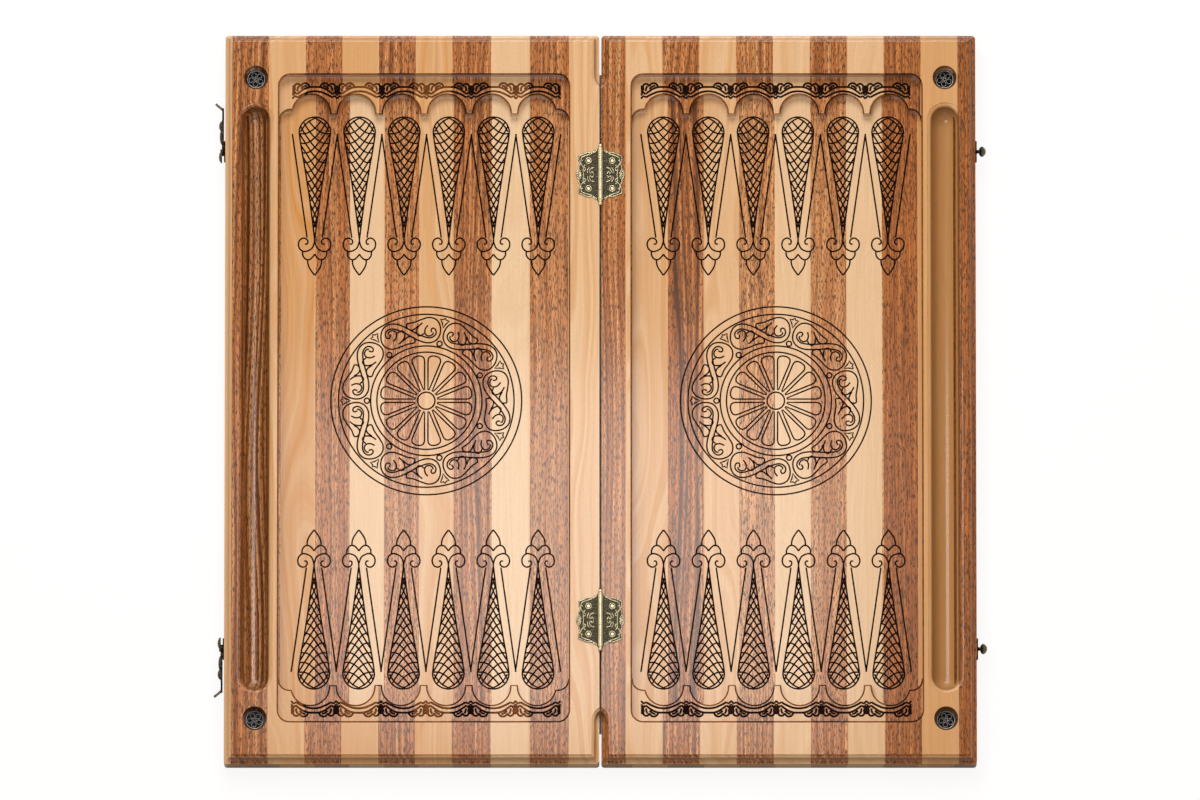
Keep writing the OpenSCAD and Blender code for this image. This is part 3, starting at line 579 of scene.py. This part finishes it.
def smooth_line(points, steps=4, closed=False):
    """A smooth line through points."""
    count = len(points)
    line = []
    for k in range(count if closed else count - 1):
        before = points[(k - 1) % count] if closed or k > 0 else points[0]
        here, there = points[k], points[(k + 1) % count]
        after = points[(k + 2) % count] if closed or k + 2 < count else points[-1]
        for s in range(steps):
            t = s / steps
            line.append(tuple(
                0.5 * (2 * b + (c - a) * t + (2 * a - 5 * b + 4 * c - d) * t * t
                       + (3 * b - a - 3 * c + d) * t ** 3)
                for a, b, c, d in zip(before, here, there, after)))
    if not closed:
        line.append(tuple(points[-1]))
    return line


def mirrored(points):
    """The same line on the other side of the y axis."""
    return [(-x, y) for x, y in points]


def flipped(points):
    """The same line on the other side of the x axis."""
    return [(x, -y) for x, y in points]


def turned(points, angle):
    """The same line turned round the middle."""
    cos, sin = math.cos(angle), math.sin(angle)
    return [(x * cos - y * sin, x * sin + y * cos) for x, y in points]


def in_pairs(image, *lines):
    """Open lines for strips, each followed by its mirrored or flipped image."""
    return [(line, False) for points in lines for line in (points, image(points))]


def strips(name, lines, width, height, rounding=0):
    """Make solid strips along lines in millimetres. Each line is its points, and whether it is closed."""
    curve = bpy.data.curves.new(name, "CURVE")
    curve.dimensions = "3D"
    curve.twist_mode = "Z_UP"
    curve.bevel_depth = width / 2
    curve.bevel_resolution = rounding
    curve.use_fill_caps = True
    for points, closed in lines:
        spline = curve.splines.new("POLY")
        spline.points.add(len(points) - 1)
        for point, (x, y) in zip(spline.points, points):
            point.co = (x * MM, y * MM, 0, 1)
        spline.use_cyclic_u = closed
    piece = bpy.data.objects.new(name, curve)
    bpy.context.collection.objects.link(piece)
    select_only(piece)
    bpy.ops.object.convert(target="MESH")
    return settle(bpy.context.view_layer.objects.active, scale=(1, 1, height / width))


def swell(place, radii):
    """Model the upper half of an ellipsoid standing on the plane z = 0."""
    bpy.ops.object.select_all(action="DESELECT")
    bpy.ops.mesh.primitive_uv_sphere_add(segments=24, ring_count=16, radius=1 * MM, location=(0, 0, 0))
    piece = bpy.context.active_object
    piece.name = "swell"
    bpy.ops.object.mode_set(mode="EDIT")
    bpy.ops.mesh.select_all(action="SELECT")
    # The cut goes a hair under the middle, so the middle ring of points stays
    bpy.ops.mesh.bisect(plane_co=(0, 0, -0.0001 * MM), plane_no=(0, 0, 1), clear_inner=True, use_fill=True)
    bpy.ops.object.mode_set(mode="OBJECT")
    settle(piece, (*place, 0), scale=radii)
    bpy.ops.object.shade_smooth()
    return piece


def figure_places(half):
    """Where the figures of a half stand, across from the seam."""
    middle = HALVES[half] * FIGURE_MID[half]
    return [middle + (k - (ARCH_COUNT - 1) / 2) * FIGURE_PITCH[half] for k in range(ARCH_COUNT)]


def spear_half_width(y):
    """Half the width of a spear at a distance inwards from its top."""
    if y <= HEAD_R:
        return math.sqrt(max(0.0, HEAD_R ** 2 - (HEAD_R - y) ** 2))
    for (y0, w0), (y1, w1) in zip(SPEAR_WIDTHS, SPEAR_WIDTHS[1:]):
        if y <= y1:
            return w0 + (w1 - w0) * (y - y0) / (y1 - y0)
    return 0.0


def net_lines():
    """The two crossing families of curved lines that fill a spear."""
    runs = [smooth_line(NET_TOP, 3)]
    for k in range(1, NET_COUNT + 1):
        middle_y = NET_FIRST + NET_PITCH * k
        # The lines lie flatter where the spear is narrow
        bend = min(1.0, spear_half_width(middle_y) / NET_FULL_HALF_W)
        slope = math.sqrt(bend) * NET_SLOPE
        run = []
        for u in evenly(-1, 1, NET_STEPS):
            y = middle_y + slope * u - bend * NET_BEND * u * u
            x = u * (HEAD_R if 0 < y < HEAD_R else spear_half_width(y))
            if 0 < y < NET_END_Y and abs(x) <= spear_half_width(y) + NET_OVERLAP:
                run.append((x, y))
        runs.append(run)
    return in_pairs(mirrored, *runs)


def spear_figure():
    """All lines of one point: spear with its net, flank lines, volutes, lobes and bud."""
    side = arc((0, HEAD_R), HEAD_R, -math.pi / 2, 0, HEAD_STEPS)[:-1] + [(w, y) for y, w in SPEAR_WIDTHS]
    crown = [smooth_line(points) for points in (VOLUTE, LOBES, BUD)]
    lines = in_pairs(mirrored, side) + net_lines() + in_pairs(mirrored, *crown, FLANK_LINE)
    return [(flipped(points), closed) for points, closed in lines]


def field_outline():
    """The rim's edge around a field, with its round corners."""
    across, along = FIELD_W / 2 - FIELD_CORNER_R, FIELD_L / 2 - FIELD_CORNER_R
    line = []
    for turn, corner in enumerate(((across, along), (-across, along), (-across, -along), (across, -along))):
        first = turn * math.pi / 2
        line += arc(corner, FIELD_CORNER_R + EDGE_W / 2, first, first + math.pi / 2, CORNER_STEPS)
    return line


def arcade_edge():
    """The band's edge over the arches at one end: flank, arches and the ends of the piers between them."""
    out = EDGE_W / 2
    radius = ARCH_R + out
    corner = (FIELD_W / 2 - FIELD_CORNER_R, FLANK_Y + out - FIELD_CORNER_R)
    flank = [(FIELD_W / 2, FLANK_Y - FIELD_CORNER_R)]
    flank += arc(corner, FIELD_CORNER_R, 0, math.pi / 2, CORNER_STEPS)[1:]
    line = list(flank)
    flank_turn = math.asin((FLANK_Y + out - ARCH_Y) / radius)
    for k in reversed(range(ARCH_COUNT)):
        x = (k - (ARCH_COUNT - 1) / 2) * ARCH_PITCH
        first = flank_turn if k == ARCH_COUNT - 1 else 0.0
        last = math.pi - (0.0 if k else flank_turn)
        line += arc((x, ARCH_Y), radius, first, last, ARCH_STEPS)
        if k:
            line += [(x - radius, PIER_Y + out), (x - ARCH_PITCH + radius, PIER_Y + out)]
    return line + mirrored(reversed(flank))


def border_bay():
    """All lines of one bay of the border: straps, tufts, veins, folds and half of the knots at its ends."""
    curves = [smooth_line(flipped(points)) for points in (STRAP_OUTER, STRAP_INNER, TUFT, *VEINS)]
    folds = [flipped(points) for points in FOLDS]
    # The next bay has the other half of each knot
    knots = [flipped(arc(KNOT_MID, radius, math.pi / 2, 3 * math.pi / 2, KNOT_STEPS))
             for radius in KNOT_RADII]
    return in_pairs(mirrored, *curves, *folds, *knots)


def medallion_figure():
    """All lines of a medallion: rings, petals with rounded ends, and scrolls with beads and trefoils."""
    lines = [(ring(radius, steps), True) for radius, steps in MEDALLION_RINGS]
    half_turn = math.pi / PETAL_COUNT
    petal = [(r, r * math.tan(half_turn) - PETAL_GAP) for r in PETAL_SIDE] + PETAL_CAP
    petal += flipped(reversed(petal))
    lines += [(turned(petal, half_turn * (1 + 2 * k)), True) for k in range(PETAL_COUNT)]
    cell = 2 * math.pi / len(CELL_TURNS)
    for k, way in enumerate(CELL_TURNS):
        for stroke in (STEM, *LEAF_LOBES):
            # The lower bowl is the upper one turned by half a turn about the cell's middle
            for bowl in (1, -1):
                points = smooth_line([(r * bowl, t * bowl) for r, t in stroke])
                placed = [(CELL_R + r, t * way) for r, t in points]
                lines.append((turned(placed, math.pi - (k + 0.5) * cell), False))
        edge_turn = math.pi - k * cell
        bead_mid = turned([(BEAD_AT, 0)], edge_turn)[0]
        lines += [(ring(BEAD_R, BEAD_STEPS, bead_mid), True), (turned(TREFOIL, edge_turn), True)]
    return lines


def notched(edge, along, notch_along, notch_out, radius):
    """Where an edge stands at a place along it, cut back by a round notch."""
    reach = radius ** 2 - (along - notch_along) ** 2
    return min(edge, notch_out - math.sqrt(reach)) if reach > 0 else edge


def leaf_edge():
    """Half the rim of a hinge leaf, from beside the barrel to the tip of its shell."""
    line = [(x, notched(LEAF_HALF_L - x * LEAF_DROP / LEAF_W, x, *LONG_NOTCH) - RIM_INSET)
            for x in evenly(*LONG_EDGE_XS)]
    line += [(notched(LEAF_W, y, *SHORT_NOTCH) - RIM_INSET, y) for y in evenly(*SHORT_EDGE_YS)]
    line += [(SHELL_X + math.sqrt(SHELL_R ** 2 - y * y) - RIM_INSET, y) for y in evenly(*SHELL_YS)]
    return line


def leaf_figure():
    """All raised lines of a hinge leaf: rim, sprigs, rings round the nails and the rays of the shell."""
    half_rim = leaf_edge()
    lines = [(half_rim + flipped(reversed(half_rim[:-1])), False)]
    lines += in_pairs(flipped, *[smooth_line(points) for points in LEAF_SPRIGS])
    lines += [(ring(LEAF_NAIL_RING_R, LEAF_NAIL_STEPS, nail), True) for nail in LEAF_NAILS]
    for degrees in SHELL_RAYS:
        cos, sin = math.cos(math.radians(degrees)), math.sin(math.radians(degrees))
        lines.append(([(x + r * cos, r * sin) for x, r in RAY_ENDS], False))
    return lines


def rosette_figure():
    """The lines of a disc's rosette: an eye and five petals."""
    petal = smooth_line(ROSETTE_PETAL, closed=True)
    turns = [math.radians(ROSETTE_START + 360 * k / ROSETTE_COUNT) for k in range(ROSETTE_COUNT)]
    return [(ring(EYE_R, EYE_STEPS), True)] + [(turned(petal, turn), True) for turn in turns]


def plate_figure():
    """All raised lines of a latch's plate: rings round the rivet and the nails, and a rope's strands."""
    strand = [(r, 0) for r in STRAND_ENDS]
    turns = [2 * math.pi * k / STRAND_COUNT for k in range(STRAND_COUNT)]
    lines = [(ring(*values), True) for values in PLATE_RINGS]
    return lines + [(turned(strand, turn), False) for turn in turns]


def hook_figure():
    """All raised lines of a hook: its veins, and rings at the leaf and round the rivet."""
    veins = [smooth_line(points) for points in HOOK_VEINS]
    return in_pairs(flipped, *veins) + [(ring(*values), True) for values in HOOK_RINGS]


def burnt(piece, half, place):
    """Finish a piece of burnt ornament, or a line of painted edge shade: it rides with its half of the board.
    """
    dress(piece, bpy.data.materials[f"Burnt wood, {half} {place}"])
    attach(piece, f"{half}_half")


class BOARD_OT_wood(bpy.types.Operator):
    """Finish the staves of both layers with lacquered walnut and beech"""
    bl_idname = "board.wood"
    bl_label = "Wood"

    def execute(self, context):
        colours = context.scene.board_colours
        # The borders are burnt more weakly on beech, in the left half most of all
        on_beech = {"left": colours.scorch, "right": shade(colours.burnt, 2.2)}
        for half in HALVES:
            wood = {(layer, species): lacquered_wood(species, half, layer, colours)
                    for layer in ("top", "base") for species in SPECIES}
            for number in range(1, STAVE_COUNT + 1):
                light = (number % 2 == 1) == (half == "left")
                dress(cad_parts[f"{half}_stave_{number}"], wood["top", "beech" if light else "walnut"])
            for species in SPECIES:
                dress(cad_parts[f"{half}_base_{species}"], wood["base", species])
            burnt_wood_and_edge_shade(half, "floor", colours.burnt, colours.burnt)
            burnt_wood_and_edge_shade(half, "border", colours.burnt, on_beech[half])
            # The milled edges get dark lines of painted shade, in the burnt wood's material
            burnt_wood_and_edge_shade(half, "edge", colours.walnut_edge_shade, colours.beech_edge_shade)
        return {"FINISHED"}


class BOARD_OT_points(bpy.types.Operator):
    """Burn the spear-shaped figure of every point into the floors"""
    bl_idname = "board.points"
    bl_label = "Points"

    def execute(self, context):
        pattern = strips("point_pattern", spear_figure(), context.scene.board_sizes.line_w, BURN_T * MM)
        # The stencil for the floor sat a little low, so the far heads stand off their arches
        head_ys = {"far": HEAD_Y - FAR_HEAD_GAP, "near": -HEAD_Y}
        for half in HALVES:
            copies = [copy_of(pattern, "point", (x, head_ys[end_name], FLOOR_Z), scale=(1, end, 1))
                      for end_name, end in ENDS.items() for x in figure_places(half)]
            burnt(join(f"points_{half}", copies), half, "floor")
        remove(pattern)
        return {"FINISHED"}


class BOARD_OT_edge_shade(bpy.types.Operator):
    """Paint shade along the milled edges of the fields as thin dark lines"""
    bl_idname = "board.edges"
    bl_label = "Milled edges"

    def execute(self, context):
        # Painted shade: dark strips laid on the rim's and the band's edges where the floor drops away
        rim = strips("rim_pattern", [(field_outline(), True)], EDGE_W * MM, EDGE_T * MM)
        arcade = strips("arcade_pattern", [(arcade_edge(), False)], EDGE_W * MM, EDGE_T * MM)
        for half, side in HALVES.items():
            copies = [copy_of(rim, "rim", (side * FIELD_MID, 0, FACE_Z))]
            copies += [copy_of(arcade, "arcade", (side * FIELD_MID, 0, BAND_Z), scale=(1, end, 1))
                       for end in ENDS.values()]
            burnt(join(f"milled_edges_{half}", copies), half, "edge")
        remove(rim, arcade)
        return {"FINISHED"}


class BOARD_OT_borders(bpy.types.Operator):
    """Burn the bands of straps and tufts over the arches"""
    bl_idname = "board.borders"
    bl_label = "Borders"

    def execute(self, context):
        width = context.scene.board_sizes.border_line_w
        pattern = strips("bay_pattern", border_bay(), width, BORDER_BURN_T * MM)
        for half in HALVES:
            copies = [copy_of(pattern, "bay", (x, end * BORDER_Y, BAND_Z), scale=(1, end, 1))
                      for end in ENDS.values() for x in figure_places(half)]
            burnt(join(f"borders_{half}", copies), half, "border")
        remove(pattern)
        return {"FINISHED"}


class BOARD_OT_medallions(bpy.types.Operator):
    """Burn the round medallion into the middle of each floor"""
    bl_idname = "board.medallions"
    bl_label = "Medallions"

    def execute(self, context):
        width = context.scene.board_sizes.medallion_line_w
        pattern = strips("medallion_pattern", medallion_figure(), width, BURN_T * MM)
        for half, side in HALVES.items():
            burnt(copy_of(pattern, f"medallion_{half}", (side * FIGURE_MID[half], 0, FLOOR_Z)), half, "floor")
        remove(pattern)
        return {"FINISHED"}


class BOARD_OT_hinges(bpy.types.Operator):
    """Antique the hinges and lay the cast relief on their leaves"""
    bl_idname = "board.hinges"
    bl_label = "Hinges"

    def execute(self, context):
        sizes, colours = context.scene.board_sizes, context.scene.board_colours
        bronze = antique_bronze("Antique bronze, hinges", colours.bronze, "Z", HINGE_WEAR_Z)
        for name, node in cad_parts.items():
            if name.startswith("hinge_"):
                dress(node, bronze)
        leaf = strips("leaf_pattern", leaf_figure(), sizes.relief_w, LEAF_RELIEF_T * MM, 1)
        for half, side in HALVES.items():
            for end_name, end in ENDS.items():
                piece = copy_of(leaf, f"hinge_relief_{half}_{end_name}", (0, end * HINGE_Y, LEAF_Z),
                                scale=(side, 1, 1))
                dress(piece, bronze)
                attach(piece, f"{half}_half")
        remove(leaf)
        return {"FINISHED"}


class BOARD_OT_discs(bpy.types.Operator):
    """Plate the discs in the corner wells and lay a plain rosette on each"""
    bl_idname = "board.discs"
    bl_label = "Discs"

    def execute(self, context):
        colours = context.scene.board_colours
        bright = nickel_plate("Nickel plate, polished", colours.nickel, roughness=0.4)
        dark = nickel_plate("Nickel plate, blackened", colours.black_nickel, roughness=0.22)
        bpy.ops.object.select_all(action="DESELECT")
        bpy.ops.mesh.primitive_cylinder_add(vertices=DISC_STEPS, radius=GROUND_R * MM, depth=GROUND_T * MM,
                                            location=(0, 0, GROUND_T / 2 * MM))
        ground = bpy.context.active_object
        dress(ground, dark)
        rosette = strips("rosette_lines", rosette_figure(), ROSETTE_W * MM, ROSETTE_T * MM, 1)
        dress(rosette, bright)
        edge_line = (ring(DISC_EDGE_R, DISC_STEPS), True)
        edge = strips("disc_edge", [edge_line], DISC_EDGE_W * MM, DISC_EDGE_T * MM, 1)
        dress(edge, bright)
        pattern = join("disc_pattern", [ground, rosette, edge])
        for half, side in HALVES.items():
            for end_name, end in ENDS.items():
                dress(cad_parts[f"disc_{half}_{end_name}"], bright)
                place = (side * WELL_X, end * WELL_Y, DISC_Z)
                piece = copy_of(pattern, f"disc_face_{half}_{end_name}", place)
                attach(piece, f"{half}_half")
        remove(pattern)
        return {"FINISHED"}


class BOARD_OT_latches(bpy.types.Operator):
    """Antique the hooks and catches and lay the raised work on them"""
    bl_idname = "board.latches"
    bl_label = "Latches"

    def execute(self, context):
        colours = context.scene.board_colours
        # Painted shade: the latches' bronze is darkened all over, as they stand in shade at the board's sides
        bronze = antique_bronze("Antique bronze, latches", colours.bronze, "X", LATCH_WEAR_X, LATCH_PAINTED_SHADE)
        for name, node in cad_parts.items():
            if name.startswith(("hook_", "catch_")):
                dress(node, bronze)
        plate = strips("plate_pattern", plate_figure(), PLATE_LINE_W * MM, PLATE_LINE_T * MM, 1)
        hook = strips("hook_pattern", hook_figure(), HOOK_LINE_W * MM, HOOK_LINE_T * MM, 1)
        hook = join("hook_pattern", [hook, *[swell(place, radii) for place, radii in HOOK_SWELLS]])
        plate_x = LATCH_X + PLATE_T
        for end_name, end in ENDS.items():
            for half, side, name in (("left", -1, "hook_plate"), ("right", 1, "catch_plate")):
                piece = copy_of(plate, f"{name}_relief_{end_name}", turn=STAND)
                settle(piece, (side * plate_x, end * LATCH_Y, LATCH_Z), scale=(side, end, 1))
                dress(piece, bronze)
                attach(piece, f"{half}_half")
            piece = copy_of(hook, f"hook_relief_{end_name}", turn=STAND)
            settle(piece, (-plate_x - HOOK_GAP - HOOK_T, end * LATCH_Y, LATCH_Z), scale=(-1, end, 1))
            dress(piece, bronze)
            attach(piece, f"hook_{end_name}")
        remove(plate, hook)
        return {"FINISHED"}


def ray_kinds(tree):
    """The kinds of ray, and whether one comes from the camera or from a mirroring surface."""
    rays = add(tree, "LightPath")
    seen = add(tree, "Math", {"operation": "MAXIMUM"},
               {0: rays.outputs["Is Camera Ray"], 1: rays.outputs["Is Glossy Ray"]})
    return rays, seen


def outside(tree, aside, along, half_sizes):
    """Give 1 outside a rectangle round the middle of the floor, and 0 inside it."""
    past = [add(tree, "Math", {"operation": "GREATER_THAN"}, {0: distance, 1: limit})
            for distance, limit in zip((aside, along), half_sizes)]
    return add(tree, "Math", {"operation": "MAXIMUM"}, {0: past[0], 1: past[1]})


def white_paper():
    """Matt white paper, white to the camera, that takes the board's shadow."""
    material, tree = start_material("White paper sweep")
    rays, seen = ray_kinds(tree)
    parts = add(tree, "SeparateXYZ", None, {0: add(tree, "TexCoord").outputs["Object"]})
    aside = add(tree, "Math", {"operation": "ABSOLUTE"}, {0: parts.outputs["X"]})
    along = add(tree, "Math", {"operation": "ABSOLUTE"}, {0: parts.outputs["Y"]})
    # Under the seam the paper only has the little light that falls through the gap
    lit = outside(tree, aside, along, GAP_SHADE_HALF)
    glow_share = add(tree, "Math", {"operation": "MULTIPLY"}, {0: lit, 1: GLOW_SHARE})
    # The board's glossy sides mirror the paper right beside them, which lies in their own shade
    clear = add(tree, "Math", {"operation": "MAXIMUM"},
                {0: outside(tree, aside, along, SIDE_SHADE_HALF), 1: rays.outputs["Is Camera Ray"]})
    clear_share = add(tree, "Math", {"operation": "MULTIPLY"}, {0: clear, 1: glow_share})
    share = add(tree, "Math", {"operation": "MULTIPLY"}, {0: seen, 1: clear_share})
    paper = add(tree, "BsdfDiffuse", None, {"Color": (0.9, 0.9, 0.9, 1)})
    glow = add(tree, "Emission", None, {"Color": (1, 1, 1, 1), "Strength": 1.05})
    both = add(tree, "MixShader", None, {0: share, 1: paper, 2: glow})
    add(tree, "OutputMaterial", None, {"Surface": both})
    return material


def studio_world():
    """A white room for the camera, that metal mirrors and that fills the shades with soft light."""
    world = bpy.data.worlds.new("Studio")
    world.use_nodes = True
    tree = world.node_tree
    tree.nodes.clear()
    rays, mirrored_or_seen = ray_kinds(tree)
    seen = add(tree, "Math", {"operation": "MAXIMUM"},
               {0: mirrored_or_seen, 1: rays.outputs["Is Transmission Ray"]})
    # Mirrored by the metal, the room is bright near its walls and dark overhead
    height = add(tree, "SeparateXYZ", None, {0: add(tree, "TexCoord").outputs["Generated"]})
    room = add(tree, "MapRange", None, {0: height.outputs["Z"], 1: 0.1, 2: 0.85, 3: 1.1, 4: 0.2})
    room_seen = add(tree, "MapRange", None, {0: rays.outputs["Is Camera Ray"], 3: room, 4: 1.0})
    level = add(tree, "MapRange", None, {0: seen, 3: 0.4, 4: room_seen})
    tint = add(tree, "Mix", {"data_type": "RGBA"}, {0: seen, 6: SHADE_TINT, 7: (*WHITE, 1)})
    sky = add(tree, "Background", None, {"Color": tint.outputs[2], "Strength": level})
    add(tree, "OutputWorld", None, {"Surface": sky})
    return world


class BOARD_OT_stage(bpy.types.Operator):
    """Set the white floor, the soft lamps and the camera"""
    bl_idname = "board.stage"
    bl_label = "Stage"

    def execute(self, context):
        scene = context.scene
        bpy.ops.object.select_all(action="DESELECT")
        bpy.ops.mesh.primitive_plane_add(size=PAPER_SIZE, location=(0, 0, -PAPER_DROP))
        floor = bpy.context.active_object
        floor.name = "floor"
        dress(floor, white_paper())
        scene.world = studio_world()

        for name, values in LAMPS.items():
            bpy.ops.object.light_add(type="AREA", location=values["place"])
            lamp = bpy.context.active_object
            lamp.name = name
            lamp.data.shape = "RECTANGLE"
            lamp.data.size, lamp.data.size_y = values["size"]
            lamp.data.energy = values["power"]
            if name == "key":
                lamp.rotation_euler = (-Vector(values["place"])).to_track_quat("-Z", "Y").to_euler()
            lamp.visible_camera = False

        back = Vector((0, -CAMERA_DISTANCE * math.sin(CAMERA_TILT), CAMERA_DISTANCE * math.cos(CAMERA_TILT)))
        bpy.ops.object.camera_add(location=AIM + back, rotation=(CAMERA_TILT, 0, 0))
        camera = bpy.context.active_object
        camera.data.sensor_width = SENSOR_W
        camera.data.lens = SENSOR_W * CAMERA_DISTANCE / VIEW_W
        camera.data.clip_end = 2.5 * CAMERA_DISTANCE
        scene.camera = camera
        scene.view_settings.view_transform = "Standard"
        return {"FINISHED"}


class BOARD_PT_panel(bpy.types.Panel):
    """Steps and values of the backgammon board"""
    bl_idname = "BOARD_PT_panel"
    bl_label = "Backgammon board"
    bl_space_type = "VIEW_3D"
    bl_region_type = "UI"
    bl_category = "Board"

    def draw(self, context):
        for operator in OPERATORS:
            self.layout.operator(operator.bl_idname)
        for group in (context.scene.board_sizes, context.scene.board_colours):
            for name in group.__annotations__:
                self.layout.prop(group, name)


OPERATORS = (BOARD_OT_wood, BOARD_OT_edge_shade, BOARD_OT_points, BOARD_OT_borders, BOARD_OT_medallions,
             BOARD_OT_hinges, BOARD_OT_discs, BOARD_OT_latches, BOARD_OT_stage)
CLASSES = (BoardSizes, BoardColours, *OPERATORS, BOARD_PT_panel)


def register():
    for entry in CLASSES:
        bpy.utils.register_class(entry)
    bpy.types.Scene.board_sizes = bpy.props.PointerProperty(type=BoardSizes)
    bpy.types.Scene.board_colours = bpy.props.PointerProperty(type=BoardColours)


def unregister():
    del bpy.types.Scene.board_colours
    del bpy.types.Scene.board_sizes
    for entry in reversed(CLASSES):
        bpy.utils.unregister_class(entry)


def main():
    register()
    bpy.ops.board.wood()
    bpy.ops.board.edges()
    bpy.ops.board.points()
    bpy.ops.board.borders()
    bpy.ops.board.medallions()
    bpy.ops.board.hinges()
    bpy.ops.board.discs()
    bpy.ops.board.latches()
    bpy.ops.board.stage()


if __name__ == "__main__":
    main()
